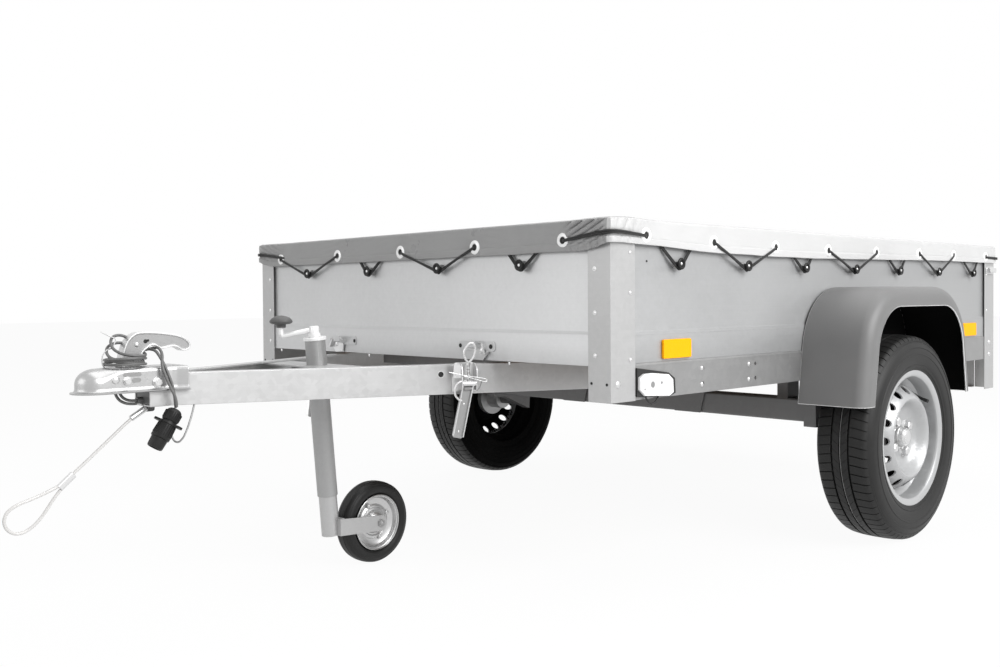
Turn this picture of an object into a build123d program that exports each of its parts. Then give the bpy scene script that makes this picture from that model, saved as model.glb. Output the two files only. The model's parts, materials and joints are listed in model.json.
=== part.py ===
from build123d import *
from math import cos, pi, radians, sin, tan
import os

os.makedirs("parts", exist_ok=True)

# Utility trailer with a tipping bed, in millimetres. +Z is up, -Y is the towing end and
# +X the trailer's left. The origin is on the ground, at the centre of the footprint.

# ---------------------------------------------------------------- driving sizes
body_width = 1365.4  # across the corner posts
body_length = 2038.8  # front posts' face to rear posts' face
coupler_reach = 835.5  # coupler's nose ahead of the front posts
rear_reach = 14.0  # tailgate knuckles behind the rear posts
wall_top = 812.0
panel_fold = 573.6  # the walls' lower band stands proud below this fold
fold_rise = 7.0
front_wall_foot = 507.3
side_wall_foot = 510.8  # also the top of the chassis rails
rail_foot = 433.6
front_post_foot = 432.6
rear_post_foot = 331.6
post_front_face = 61.9
post_side_face = 80.4
rear_post_side_face = 77.3

post_sheet = 2.0
wall_sheet = 2.0
rail_sheet = 3.0
rail_flange = 42.0
rail_hole_y = (328.0, 546.5)  # behind the front posts' face
rail_hole_z = (454.0, 489.0)
rail_hole_radius = 4.5
rail_inset = 2.3  # each layer's outer face, inside the posts' outer face
band_inset = 4.5
wall_inset = 8.0
hem_width = 18.0
hem_height = 26.0
foot_flange = 18.0
seat_gap = 0.3  # between pieces of one body that rest on each other

floor_sheet = 9.0
crossmember_width = 50.0
crossmember_sheet = 3.0

leg_nose_half = 36.0  # drawbar leg's outer face at the coupler
leg_spread_half = 560.0  # and at the axle
leg_angle = 24.0
leg_start = -690.0
leg_bend = -640.0
leg_end = 1150.0
leg_height = 68.0
leg_foot = 433.0
leg_sheet = 4.0
leg_flange = 32.0

tyre_radius = 273.5
tyre_width = 155.0
rim_radius = 165.1
rim_width = 127.0
rim_lip = 182.0
rim_sheet = 4.0
rim_well = 142.0
tyre_wall = 11.0
tyre_shoulder = 22.0  # depth of the shoulder's edge below the tread
tyre_bulge = 48.0  # depth of the side wall's widest point
disc_ring = 125.0  # ring of holes in the wheel disc
disc_holes = 16
disc_hole_radius = 10.5
cap_radius = 27.0
cap_reach = 41.0
hub_inner = -56.0
track_half = 779.0
axle_back = 1046.9  # wheel axis behind the front posts' face
rim_face = 26.0  # wheel disc's seat, outside the wheel's centre plane
hub_radius = 62.0
stub_radius = 17.5
stub_clearance = 0.05
torsion_tube = 62.0
torsion_back = 930.0
torsion_height = 340.0
torsion_half = 612.0
arm_sheet = 36.0
stay_width = 60.0
rest_bracket_sheet = 5.0
hub_outer = 14.0

tip_back = 1130.0  # tipping axis
tip_height = 463.0
tip_pin_radius = 10.0
tip_lug_sheet = 8.0
tip_lug_half = 34.0
rest_bracket_x = 228.0
rest_bracket_foot_half = 46.0
rest_bracket_top_half = 86.0
rest_pad = 8.0
pin_clearance = 0.05

fender_front = 743.0
fender_rear = 1393.0
fender_foot = 375.0
fender_top = 675.0
fender_lean = 9.0  # degrees
fender_corner = 175.0
fender_width = 182.0
fender_wall = 4.0
fender_lip_front = 55.0
fender_lip_rear = 38.0
fender_lip_top = 52.0
fender_opening_corner = 125.0
fender_edge = 31.0
tip_lug_gap = 1.0

reflector_front = 227.0  # behind the front posts' face
reflector_rear = 203.8  # ahead of the rear posts' face
reflector_level = 538.0
reflector_length = 102.0
reflector_height = 42.0
reflector_depth = 7.0
reflector_corner = 4.0
# marker lamp, as (behind the front posts' face, height): its rubber holder and its lens
marker_holder = (
    (82.0, 440.7), (195.0, 434.5), (217.0, 440.5), (215.0, 473.5), (192.0, 487.0), (82.0, 502.0),
)
marker_lens = (
    (84.5, 455.8), (103.0, 441.8), (187.0, 436.5), (201.5, 443.5), (199.8, 472.2), (183.7, 484.0),
    (124.0, 489.6), (99.9, 488.8), (84.7, 481.2),
)
marker_holder_depth = 5.5
marker_lens_depth = 12.0
lamp_bar_inset = 4.0
lamp_bar_sheet = 2.0
rear_lamp_length = 236.0
rear_lamp_height = 88.0
rear_lamp_depth = 6.0

jockey_back = -259.0  # tube axis at the clamp
jockey_clamp_height = 467.0
jockey_lean = 4.8
jockey_tube_radius = 24.0
jockey_tube_top = 558.0
jockey_tube_foot = 184.0
jockey_inner_radius = 21.5
jockey_inner_foot = 88.0
jockey_wheel_radius = 100.0
jockey_wheel_width = 50.0
jockey_wheel_back = -99.7
jockey_turn = 3.0
jockey_fit = 0.35
jockey_stroke = 60.0
jockey_inner_wall = 3.0
jockey_fork_gap = 5.5
jockey_fork_sheet = 5.0
jockey_fork_height = 40.0
jockey_fork_rise = 9.0  # of the arms, from the wheel's pin to the tube
jockey_pin_radius = 8.0
jockey_arm_start = 3.0  # behind the tube's axis
jockey_crown_depth = 14.0
jockey_rim_radius = 66.0
cross_channel_depth = 90.0
cross_plate_sheet = 4.0
crank_hub_radius = 14.0
crank_hub_height = 26.0
crank_turn = 35.0  # of the arm, from straight ahead
crank_fall = 12.0
crank_length = 76.0
crank_arm_radius = 6.0
crank_neck = 36.0
crank_knob_radius = 27.0
crank_knob_height = 25.0

coupler_nose = -826.5
coupler_ball_back = -788.0
coupler_ball_height = 481.0
coupler_ball_radius = 25.3
coupler_top = 516.0
coupler_foot = 466.0
coupler_rear = -612.0
coupler_sheet = 3.5
coupler_flange = 9.0
coupler_taper = 30.0
coupler_edge = 12.0
cable_radius = 3.0
coil_middle = -727.0  # of the coil round the handle's neck
coil_inner = 36.5
coil_outer = 44.5
coil_turns = 5
gland_radius = 7.0
gland_length = 12.0
gland_level = 445.0
# electric lead, as (side, back, height): from the gland up to the coil, and from it to the plug
lead_points = (
    (-6.0, -700.0, 445.0), (-7.0, -716.0, 445.0), (-18.0, -736.0, 446.0), (-39.0, -751.0, 451.0),
    (-57.0, -757.0, 468.0), (-60.0, -757.0, 493.0), (-50.0, -747.0, 513.0), (-40.5, -727.0, 519.5),
)
tail_points = (
    (-28.6, -698.4, 543.0), (-15.0, -683.0, 545.0), (4.0, -671.0, 547.0), (24.0, -665.0, 541.0),
    (42.0, -662.0, 522.0), (53.0, -657.0, 499.0), (58.0, -650.0, 474.0), (58.0, -646.5, 450.0),
    (58.0, -645.0, 432.0),
)
plug_place = (58.0, -644.0, 423.5)  # middle of its cap
plug_lean = 31.0
plug_radius = 19.5
plug_length = 81.5
plug_cap = 24.0
plug_lug_half = 27.5
hook_wire_radius = 2.0
hook_wire_points = (
    (48.0, -598.0, 436.0), (51.0, -606.0, 412.0), (54.0, -617.0, 386.0), (55.0, -627.0, 367.0),
    (50.0, -635.0, 356.5), (41.0, -640.0, 357.5), (36.0, -643.0, 366.0), (34.0, -645.0, 378.0),
)

rope_radius = 3.3
crimp_radius = 6.5
crimp_ends = ((0.0, -683.0, 428.0), (0.0, -715.0, 409.0))
ferrule_ends = ((0.0, -833.0, 309.0), (0.0, -861.0, 285.0))
ferrule_half_width = 7.5
ferrule_half_depth = 4.5
rope_end_depth = 2.0  # how far the rope's ends sit in the ferrule
loop_points = (
    (0.0, -863.6, 288.6), (0.0, -882.0, 281.0), (0.0, -901.0, 274.5), (0.0, -920.0, 269.0),
    (0.0, -937.0, 264.4), (0.0, -951.0, 258.0), (0.0, -961.2, 249.0), (0.0, -965.0, 235.0),
    (0.0, -961.2, 221.0), (0.0, -951.0, 210.8), (0.0, -937.0, 207.0), (0.0, -923.0, 210.8),
    (0.0, -909.0, 219.5), (0.0, -896.0, 232.0), (0.0, -885.0, 247.0), (0.0, -875.0, 261.5),
    (0.0, -866.0, 273.0), (0.0, -858.4, 281.4),
)
nose_block_length = 60.0
handle_half = 14.0
# side view of the handle, as (behind the front posts' face, height)
handle_profile = (
    (-740.0, coupler_top + 0.3), (-735.0, 546.0), (-729.4, 561.6), (-724.1, 571.6), (-713.4, 581.5),
    (-699.2, 586.9), (-670.6, 586.4), (-641.5, 583.5), (-619.4, 579.4), (-602.5, 574.6),
    (-591.3, 565.4), (-587.6, 556.4), (-590.4, 548.7), (-598.0, 544.7), (-606.7, 545.8),
    (-615.3, 551.8), (-623.4, 555.2), (-636.4, 553.6), (-649.3, 550.3), (-663.8, 556.4),
    (-672.8, 559.5), (-681.9, 553.6), (-692.2, 545.0), (-697.0, 532.2), (-700.0, coupler_top + 0.3),
)

tarp_sheet = 3.0
tarp_skirt = 57.0  # how far the cover hangs below the walls' top
tarp_gap = 0.4
button_drop = 87.0  # below the walls' top
button_head = 12.0
button_reach = 19.0
front_pitch = 284.0
side_pitch = 269.5
side_first_button = 231.0

tailgate_thickness = 20.0
tailgate_gap = 5.0
tailgate_drop = 6.0  # of the tailgate's top below the walls'
hinge_height = 498.0
hinge_stand = 7.0
hinge_radius = 7.0
hinge_pin = 3.5
hinge_width = 40.0
hinge_places = (180.0, 420.0)
sill_inset = 6.0
sill_depth = 22.0
sill_top = 506.0

button_stem = 5.0
hook_plate_length = 124.0
hook_plate_height = 24.0
hook_plate_sheet = 3.0
hook_x = 272.0
hook_level = 540.0
hook_reach = 20.0
latch_along = 632.0  # middle of the latch, along the leg from its front bend
latch_plate_width = 44.0
latch_lever_length = 130.0
latch_lever_width = 26.0
latch_lever_lean = 13.0  # degrees, its foot towards the coupler
latch_ring_top = 545.0
rear_latch_drop = 77.0  # below the walls' top
rear_latch_plate = (62.0, 26.0, 6.0)  # length, height, corner radius
rear_latch_case = (52.0, 16.0, 5.0)
rear_latch_sheet = 3.0
rear_latch_depth = 12.0
rest_pad_length = 60.0
rest_pad_depth = 40.0
front_crossmember_height = 40.0
rear_crossmember_height = 60.0

half_width = body_width / 2
rest_top = side_wall_foot + wall_sheet - front_crossmember_height - rest_pad
tarp_hem = wall_top - tarp_skirt
button_height = wall_top - button_drop
tailgate_top = wall_top - tailgate_drop
rear_latch_level = wall_top - rear_latch_drop
front = (coupler_reach - body_length - rear_reach) / 2  # y of the front posts' face
rear = front + body_length
axle_y = front + axle_back
sides = (("left", 1), ("right", -1))


def both_sides(part):
    """The left piece and its mirror image, with their names."""
    return (("left", part), ("right", mirror(part, about=Plane.YZ)))


# ---------------------------------------------------------------- walls of the bed
def wall_profile(foot, flange):
    """Section of a wall, as (inset from the posts' face, height) round the folded sheet."""
    s = wall_sheet
    return [
        (band_inset, foot),
        (band_inset, panel_fold),
        (wall_inset, panel_fold + fold_rise),
        (wall_inset, wall_top),
        (wall_inset + hem_width, wall_top),
        (wall_inset + hem_width, wall_top - hem_height),
        (wall_inset + hem_width - s, wall_top - hem_height),
        (wall_inset + hem_width - s, wall_top - s),
        (wall_inset + s, wall_top - s),
        (wall_inset + s, panel_fold + fold_rise),
        (band_inset + s, panel_fold),
        (band_inset + s, foot + s),
        (band_inset + flange, foot + s),
        (band_inset + flange, foot),
    ]


wall_end = wall_inset + hem_width + seat_gap  # side walls start behind the front wall's hem

with BuildPart() as front_wall:
    with BuildSketch(Plane.YZ.offset(-half_width + post_sheet + seat_gap)):
        with BuildLine():
            Polyline([(front + i, z) for i, z in wall_profile(front_wall_foot, foot_flange)],
                     close=True)
        make_face()
    extrude(amount=body_width - 2 * (post_sheet + seat_gap))
front_wall.part.label = "front_wall"
export_step(front_wall.part, "parts/front_wall.step")

side_wall_length = body_length - wall_end - tailgate_thickness - tailgate_gap - 8
for side_name, side in sides:
    with BuildPart() as side_wall:
        with BuildSketch(Plane.XZ.offset(-(front + wall_end))):
            with BuildLine():
                Polyline([(side * (half_width - i), z)
                          for i, z in wall_profile(side_wall_foot + seat_gap, foot_flange)],
                         close=True)
            make_face()
        extrude(amount=-side_wall_length)
    side_wall.part.label = f"side_wall_{side_name}"
    export_step(side_wall.part, f"parts/side_wall_{side_name}.step")

# rows: end of the bed, post's foot, its side face, y of its outer face, way to the bed's middle
post_table = (
    ("front", front_post_foot, post_side_face, front, 1),
    ("rear", rear_post_foot, rear_post_side_face, rear, -1),
)
for end_name, foot, side_face, face_y, inward in post_table:
    with BuildPart() as posts:
        with BuildSketch(Plane.XY.offset(foot)):
            for _, side in sides:
                x = side * half_width
                with BuildLine():
                    Polyline(
                        (x, face_y),
                        (x, face_y + inward * side_face),
                        (x - side * post_sheet, face_y + inward * side_face),
                        (x - side * post_sheet, face_y + inward * post_sheet),
                        (x - side * post_front_face, face_y + inward * post_sheet),
                        (x - side * post_front_face, face_y),
                        close=True,
                    )
                make_face()
        extrude(amount=wall_top - foot)
    posts.part.label = f"{end_name}_posts"
    export_step(posts.part, f"parts/{end_name}_posts.step")

# ---------------------------------------------------------------- chassis under the floor
rail_face = half_width - rail_inset
rail_start = front + wall_end
rail_length = body_length - wall_end - post_sheet - seat_gap
hole_places = [(hole_y, hole_z) for hole_y in rail_hole_y for hole_z in rail_hole_z]

with BuildPart() as chassis_rails:
    with BuildSketch(Plane.XZ.offset(-rail_start)):
        for _, side in sides:
            with BuildLine():
                x = side * rail_face
                tip = x - side * rail_flange
                web = x - side * rail_sheet
                Polyline(
                    (x, rail_foot), (x, side_wall_foot), (tip, side_wall_foot),
                    (tip, side_wall_foot - rail_sheet), (web, side_wall_foot - rail_sheet),
                    (web, rail_foot + rail_sheet), (tip, rail_foot + rail_sheet), (tip, rail_foot),
                    close=True,
                )
            make_face()
    extrude(amount=-rail_length)
    with BuildSketch(Plane.YZ):
        for hole_y, hole_z in hole_places:
            with Locations((front + hole_y, hole_z)):
                Circle(rail_hole_radius)
    extrude(amount=body_width, both=True, mode=Mode.SUBTRACT)
chassis_rails.part.label = "chassis_rails"
export_step(chassis_rails.part, "parts/chassis_rails.step")

floor_foot = side_wall_foot + seat_gap + wall_sheet + seat_gap
floor_half = half_width - band_inset - wall_sheet - seat_gap
floor_front = front + band_inset + wall_sheet + seat_gap
tailgate_front = rear - tailgate_thickness  # inner face of the closed tailgate
floor_rear = tailgate_front - tailgate_gap

with BuildPart() as floor:
    with BuildSketch(Plane.XY.offset(floor_foot)):
        with BuildLine():
            Polyline((-floor_half, floor_front), (floor_half, floor_front), (floor_half, floor_rear),
                     (-floor_half, floor_rear), close=True)
        make_face()
    extrude(amount=floor_sheet)
floor.part.label = "floor"
export_step(floor.part, "parts/floor.step")

# rows: place behind the front posts' face, half length, height
crossmember_half = rail_face - rail_flange - seat_gap
crossmember_table = (
    (150.0, 250.0, front_crossmember_height),
    (520.0, 400.0, front_crossmember_height),
    (torsion_back, 500.0, front_crossmember_height),
    (1300.0, crossmember_half, rear_crossmember_height),
    (1650.0, crossmember_half, rear_crossmember_height),
)
crossmember_top = floor_foot - seat_gap
with BuildPart() as crossmembers:
    for place, half_length, height in crossmember_table:
        s = crossmember_sheet
        y = front + place - crossmember_width / 2
        z = crossmember_top - height
        with BuildSketch(Plane.YZ.offset(-half_length)):
            with BuildLine():
                Polyline((y, z), (y + crossmember_width, z), (y + crossmember_width, z + s),
                         (y + s, z + s), (y + s, crossmember_top - s),
                         (y + crossmember_width, crossmember_top - s),
                         (y + crossmember_width, crossmember_top), (y, crossmember_top), close=True)
            make_face()
        extrude(amount=2 * half_length)
crossmembers.part.label = "crossmembers"
export_step(crossmembers.part, "parts/crossmembers.step")

# ---------------------------------------------------------------- drawbar
mitre = tan(radians(leg_angle / 2))
leg_rear_bend = leg_bend + (leg_spread_half - leg_nose_half) / tan(radians(leg_angle))


def leg_line(inset):
    """Plan of one leg's outer face, or of a line that far inside it, from nose to tail."""
    return [
        (leg_nose_half - inset, front + leg_start),
        (leg_nose_half - inset, front + leg_bend + inset * mitre),
        (leg_spread_half - inset, front + leg_rear_bend + inset * mitre),
        (leg_spread_half - inset, front + leg_end),
    ]


tip_y = front + tip_back
with BuildPart() as leg:
    for height, thickness, reach in (
        (leg_foot, leg_sheet, leg_flange),
        (leg_foot, leg_height, leg_sheet),
        (leg_foot + leg_height - leg_sheet, leg_sheet, leg_flange),
    ):
        with BuildSketch(Plane.XY.offset(height)):
            with BuildLine():
                Polyline(leg_line(0) + leg_line(reach)[::-1], close=True)
            make_face()
        extrude(amount=thickness)
    with BuildSketch(Plane.YZ.offset(leg_spread_half - leg_flange)):
        with Locations((tip_y, tip_height)):
            Circle(tip_pin_radius + pin_clearance)
    extrude(amount=leg_flange, mode=Mode.SUBTRACT)
for side_name, piece in both_sides(leg.part):
    piece.label = f"drawbar_leg_{side_name}"
    export_step(piece, f"parts/drawbar_leg_{side_name}.step")

# ---------------------------------------------------------------- jockey wheel
jockey_up = Vector(0, -sin(radians(jockey_lean)), cos(radians(jockey_lean)))
jockey_clamp = Vector(0, front + jockey_back, jockey_clamp_height)


def jockey_plane(height):
    """Plane square to the jockey tube where its axis crosses this height."""
    along = (height - jockey_clamp_height) / jockey_up.Z
    return Plane(origin=jockey_clamp + jockey_up * along, x_dir=(1, 0, 0), z_dir=jockey_up)


def jockey_length(low, high):
    return (high - low) / jockey_up.Z


# channel between the drawbar legs that holds the tube: a top and a bottom plate
channel_front = jockey_back - cross_channel_depth / 2
with BuildPart() as cross_channel:
    for height in (leg_foot + leg_sheet + seat_gap,
                   leg_foot + leg_height - leg_sheet - seat_gap - cross_plate_sheet):
        near = leg_nose_half + (channel_front - leg_bend) * tan(radians(leg_angle)) - leg_sheet - 1
        far = near + cross_channel_depth * tan(radians(leg_angle))
        with BuildSketch(Plane.XY.offset(height)):
            with BuildLine():
                y = front + channel_front
                Polyline((-near, y), (near, y), (far, y + cross_channel_depth),
                         (-far, y + cross_channel_depth), close=True)
            make_face()
        extrude(amount=cross_plate_sheet)
    with BuildSketch(Plane.XZ.offset(-(front + channel_front + cross_channel_depth))):
        with Locations((0, leg_foot + leg_height / 2)):
            Rectangle(2 * near, leg_height - 2 * (leg_sheet + seat_gap))
    extrude(amount=cross_plate_sheet)
    with BuildSketch(jockey_plane(jockey_tube_foot)):
        Circle(jockey_tube_radius + seat_gap)
    extrude(amount=jockey_length(jockey_tube_foot, jockey_tube_top), mode=Mode.SUBTRACT)
cross_channel.part.label = "cross_channel"
export_step(cross_channel.part, "parts/cross_channel.step")

with BuildPart() as jockey_tube:
    with BuildSketch(jockey_plane(jockey_tube_foot)):
        Circle(jockey_tube_radius)
        Circle(jockey_inner_radius + jockey_fit, mode=Mode.SUBTRACT)
    extrude(amount=jockey_length(jockey_tube_foot, jockey_tube_top))
    with BuildSketch(jockey_plane(jockey_tube_top)):
        Circle(jockey_tube_radius + 2)
    extrude(amount=5)
jockey_tube.part.label = "jockey_tube"
export_step(jockey_tube.part, "parts/jockey_tube.step")

# crank: hub on the tube's cap, arm that falls to its end, upright knob
crank_hub = jockey_plane(jockey_tube_top).offset(5)
with BuildPart() as jockey_crank:
    with BuildSketch(crank_hub):
        Circle(crank_hub_radius)
    extrude(amount=crank_hub_height)
    arm_start = Vector(crank_hub.origin) + jockey_up * (crank_hub_height - crank_arm_radius - 1)
    arm_way = Vector(-sin(radians(crank_turn)), -cos(radians(crank_turn)), -tan(radians(crank_fall)))
    arm_end = arm_start + arm_way * crank_length
    with BuildSketch(Plane(origin=arm_start, z_dir=arm_way)):
        Circle(crank_arm_radius)
    extrude(amount=(arm_end - arm_start).length)
    with BuildSketch(Plane(origin=arm_end - Vector(0, 0, crank_arm_radius), z_dir=(0, 0, 1))):
        Circle(crank_arm_radius + 1)
    extrude(amount=crank_neck)
    knob = Plane(origin=arm_end + Vector(0, 0, crank_neck - crank_arm_radius - 8), z_dir=(0, 0, 1))
    with BuildSketch(knob):
        Circle(crank_knob_radius)
    extrude(amount=crank_knob_height)
    fillet(jockey_crank.faces().sort_by(Axis.Z)[-1].edges(), radius=crank_knob_height * 0.6)
jockey_crank.part.label = "jockey_crank"
export_step(jockey_crank.part, "parts/jockey_crank.step")

# threaded spindle in the tubes, which carries the inner tube
inner_top = jockey_tube_top - jockey_stroke - 40
with BuildPart() as jockey_spindle:
    with BuildSketch(jockey_plane(inner_top + seat_gap)):
        Circle(jockey_inner_radius)
    extrude(amount=12)
    with BuildSketch(jockey_plane(inner_top + seat_gap)):
        Circle(6)
    extrude(amount=-60)
jockey_spindle.part.label = "jockey_spindle"
export_step(jockey_spindle.part, "parts/jockey_spindle.step")

# the fork turns with the inner tube; its arms trail to the wheel's pin
turned = radians(jockey_turn)
foot_plane = jockey_plane(jockey_inner_foot)
jockey_foot = Vector(foot_plane.origin)
trail = front + jockey_wheel_back - jockey_foot.Y
wheel_way = Vector(-sin(turned), cos(turned), 0)
wheel_side = Vector(cos(turned), sin(turned), 0)
jockey_pin = Vector(0, jockey_foot.Y, jockey_wheel_radius) + wheel_way * trail
with BuildPart() as jockey_fork:
    with BuildSketch(foot_plane):
        Circle(jockey_inner_radius)
        Circle(jockey_inner_radius - jockey_inner_wall, mode=Mode.SUBTRACT)
    extrude(amount=jockey_length(jockey_inner_foot, inner_top))
    for side in (1, -1):
        arm_face = side * (jockey_wheel_width / 2 + jockey_fork_gap)
        fork_side = Plane(origin=jockey_foot + Vector(0, 0, jockey_wheel_radius - jockey_inner_foot)
                          + wheel_side * arm_face, x_dir=wheel_way, z_dir=wheel_side * side)
        with BuildSketch(fork_side):
            with BuildLine():
                h = jockey_fork_height / 2
                Polyline((jockey_arm_start, (jockey_fork_rise - h) * side),
                         (jockey_arm_start, (jockey_fork_rise + h) * side),
                         (trail, h * side * 0.92), (trail, -h * side * 0.92), close=True)
            make_face()
            with Locations((trail, 0)):
                Circle(h * 0.92)
        extrude(amount=jockey_fork_sheet)
    # crown that ties the arms to the tube
    crown = Plane(origin=jockey_foot + Vector(0, 0, jockey_wheel_radius - jockey_inner_foot),
                  x_dir=wheel_side, z_dir=(0, 0, 1))
    with BuildSketch(crown.offset(jockey_fork_rise - jockey_fork_height / 2)):
        with Locations((0, jockey_arm_start + jockey_crown_depth / 2)):
            Rectangle(jockey_wheel_width + 2 * jockey_fork_gap + 1, jockey_crown_depth)
    extrude(amount=jockey_fork_height)
    with BuildSketch(Plane(origin=jockey_pin - wheel_side * (jockey_wheel_width / 2
                           + jockey_fork_gap + 1), z_dir=wheel_side)):
        Circle(jockey_pin_radius)
    extrude(amount=jockey_wheel_width + 2 * jockey_fork_gap + 2)
jockey_fork.part.label = "jockey_fork"
export_step(jockey_fork.part, "parts/jockey_fork.step")

jockey_section = Plane(origin=jockey_pin, x_dir=wheel_side, z_dir=-wheel_way)
jockey_axis = Axis(jockey_pin, wheel_side)
half = jockey_wheel_width / 2
with BuildPart() as jockey_tyre:
    with BuildSketch(jockey_section):
        with BuildLine():
            Polyline((-half + 2, jockey_rim_radius), (half - 2, jockey_rim_radius),
                     (half, jockey_rim_radius + 10), (half, jockey_wheel_radius - 14),
                     (half - 8, jockey_wheel_radius - 3), (0, jockey_wheel_radius),
                     (-half + 8, jockey_wheel_radius - 3), (-half, jockey_wheel_radius - 14),
                     (-half, jockey_rim_radius + 10), close=True)
        make_face()
    revolve(axis=jockey_axis)
jockey_tyre.part.label = "jockey_tyre"
export_step(jockey_tyre.part, "parts/jockey_tyre.step")

with BuildPart() as jockey_rim:
    with BuildSketch(jockey_section):
        with BuildLine():
            rim = jockey_rim_radius - seat_gap
            bore = jockey_pin_radius + stub_clearance
            Polyline((-half + 2, rim), (half - 2, rim), (half - 2, rim - 4), (12, rim - 10),
                     (8, 26), (20, 20), (20, bore), (-20, bore), (-20, 20), (-8, 26),
                     (-12, rim - 10), (-half + 2, rim - 4), close=True)
        make_face()
    revolve(axis=jockey_axis)
jockey_rim.part.label = "jockey_rim"
export_step(jockey_rim.part, "parts/jockey_rim.step")

# ---------------------------------------------------------------- coupler
coupler_half = leg_nose_half + seat_gap + coupler_sheet
coupler_flare = (coupler_rear - leg_bend + 4) * tan(radians(leg_angle))  # follows the legs
nose_radius = coupler_ball_back - coupler_nose  # round the ball
ball_y = front + coupler_ball_back
coupler_rear_y = front + coupler_rear
with BuildPart() as coupler_body:
    # rows: how far outside the side plates, depth, rounding of the top edge
    for grow, depth, edge in ((0, coupler_top - coupler_foot, coupler_edge),
                              (coupler_flange, coupler_sheet, 0)):
        with BuildSketch(Plane.XY.offset(coupler_foot)):
            r = nose_radius + grow
            w = coupler_half + grow
            flared = w + coupler_flare
            with BuildLine():
                Polyline((flared, coupler_rear_y), (w, front + leg_bend - 4),
                         (w, ball_y + coupler_taper), (r, ball_y))
                CenterArc((0, ball_y), r, 0, -180)
                Polyline((-r, ball_y), (-w, ball_y + coupler_taper), (-w, front + leg_bend - 4),
                         (-flared, coupler_rear_y), (flared, coupler_rear_y))
            make_face()
        extrude(amount=depth)
        if edge:
            fillet(coupler_body.faces().sort_by(Axis.Z)[-1].edges(), radius=edge)
    # room for the drawbar's nose, then the ball's socket
    with BuildSketch(Plane.XY.offset(coupler_foot)):
        with BuildLine():
            w = leg_nose_half + seat_gap
            y = front + leg_start - 4
            bend_y = front + leg_bend - 4
            flared = w + coupler_flare
            Polyline((-w, y), (w, y), (w, bend_y), (flared, coupler_rear_y),
                     (-flared, coupler_rear_y), (-w, bend_y), close=True)
        make_face()
    extrude(amount=leg_foot + leg_height + seat_gap - coupler_foot, mode=Mode.SUBTRACT)
    with BuildSketch(Plane.XY.offset(coupler_foot)):
        with Locations((0, ball_y)):
            Circle(coupler_ball_radius)
    extrude(amount=coupler_ball_height - coupler_foot, mode=Mode.SUBTRACT)
    with Locations((0, ball_y, coupler_ball_height)):
        Sphere(coupler_ball_radius, mode=Mode.SUBTRACT)
coupler_body.part.label = "coupler_body"
export_step(coupler_body.part, "parts/coupler_body.step")

with BuildPart() as coupler_handle:
    with BuildSketch(Plane.YZ.offset(-handle_half)):
        with BuildLine():
            Polyline([(front + y, z) for y, z in handle_profile], close=True)
        make_face()
    extrude(amount=2 * handle_half)
coupler_handle.part.label = "coupler_handle"
export_step(coupler_handle.part, "parts/coupler_handle.step")

# spacer block between the legs' ends, under the coupler
with BuildPart() as nose_block:
    with BuildSketch(Plane.XY.offset(leg_foot + leg_sheet + seat_gap)):
        with BuildLine():
            w = leg_nose_half - leg_sheet - seat_gap
            y = front + leg_start + 2
            Polyline((-w, y), (w, y), (w, y + nose_block_length), (-w, y + nose_block_length),
                     close=True)
        make_face()
    extrude(amount=leg_height - 2 * (leg_sheet + seat_gap))
    # gland of the electric lead, and the lug that the safety rope is crimped to
    with BuildSketch(Plane.XZ.offset(-(front + leg_start + 2))):
        with Locations((lead_points[0][0], gland_level)):
            Circle(gland_radius)
    extrude(amount=gland_length)
    with BuildSketch(Plane.YZ):
        with Locations((front + leg_start + 14, leg_foot)):
            RectangleRounded(22, 24, 5)
    extrude(amount=3.5, both=True)
nose_block.part.label = "nose_block"
export_step(nose_block.part, "parts/nose_block.step")

# ---------------------------------------------------------------- axle
tube_half = torsion_tube / 2
with BuildPart() as axle:
    with BuildSketch(Plane.YZ.offset(-torsion_half)):
        with Locations((front + torsion_back, torsion_height)):
            RectangleRounded(torsion_tube, torsion_tube, 6)
    extrude(amount=2 * torsion_half)
    for _, side in sides:
        # trailing arm beside the tube's end, with the stub the hub turns on
        with BuildSketch(Plane.YZ.offset(side * torsion_half)):
            with BuildLine():
                Polyline(
                    (front + torsion_back - tube_half - 5, torsion_height + tube_half + 4),
                    (front + torsion_back - tube_half - 5, torsion_height - tube_half - 12),
                    (front + torsion_back + 20, torsion_height - tube_half - 14),
                    (axle_y + 26, tyre_radius - 30),
                    (axle_y + 30, tyre_radius + 20),
                    (front + torsion_back + tube_half + 10, torsion_height + tube_half + 4),
                    close=True,
                )
            make_face()
        extrude(amount=side * arm_sheet)
        with BuildSketch(Plane.YZ.offset(side * torsion_half)):
            with Locations((axle_y, tyre_radius)):
                Circle(stub_radius)
        extrude(amount=side * (track_half + hub_outer - 6 - torsion_half))
        # stays up to the drawbar leg, and the bracket whose pad the bed rests on
        with BuildSketch(Plane.YZ.offset(side * leg_spread_half)):
            with Locations((front + torsion_back, (leg_foot + torsion_height) / 2)):
                Rectangle(stay_width, leg_foot - torsion_height)
        extrude(amount=-side * leg_flange)
        with BuildSketch(Plane.XZ.offset(-(front + torsion_back - tube_half))):
            x = side * rest_bracket_x
            with BuildLine():
                Polyline(
                    (x - rest_bracket_foot_half, torsion_height - tube_half),
                    (x + rest_bracket_foot_half, torsion_height - tube_half),
                    (x + rest_bracket_foot_half + 8, torsion_height),
                    (x + rest_bracket_top_half, rest_top),
                    (x - rest_bracket_top_half, rest_top),
                    (x - rest_bracket_foot_half - 8, torsion_height),
                    close=True,
                )
            make_face()
        extrude(amount=rest_bracket_sheet)
        with BuildSketch(Plane.XY.offset(rest_top)):
            with Locations((side * rest_bracket_x, front + torsion_back - 4)):
                Rectangle(2 * rest_bracket_top_half, torsion_tube + 2 * rest_bracket_sheet)
        extrude(amount=-rest_bracket_sheet)
axle.part.label = "axle"
export_step(axle.part, "parts/axle.step")

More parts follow.
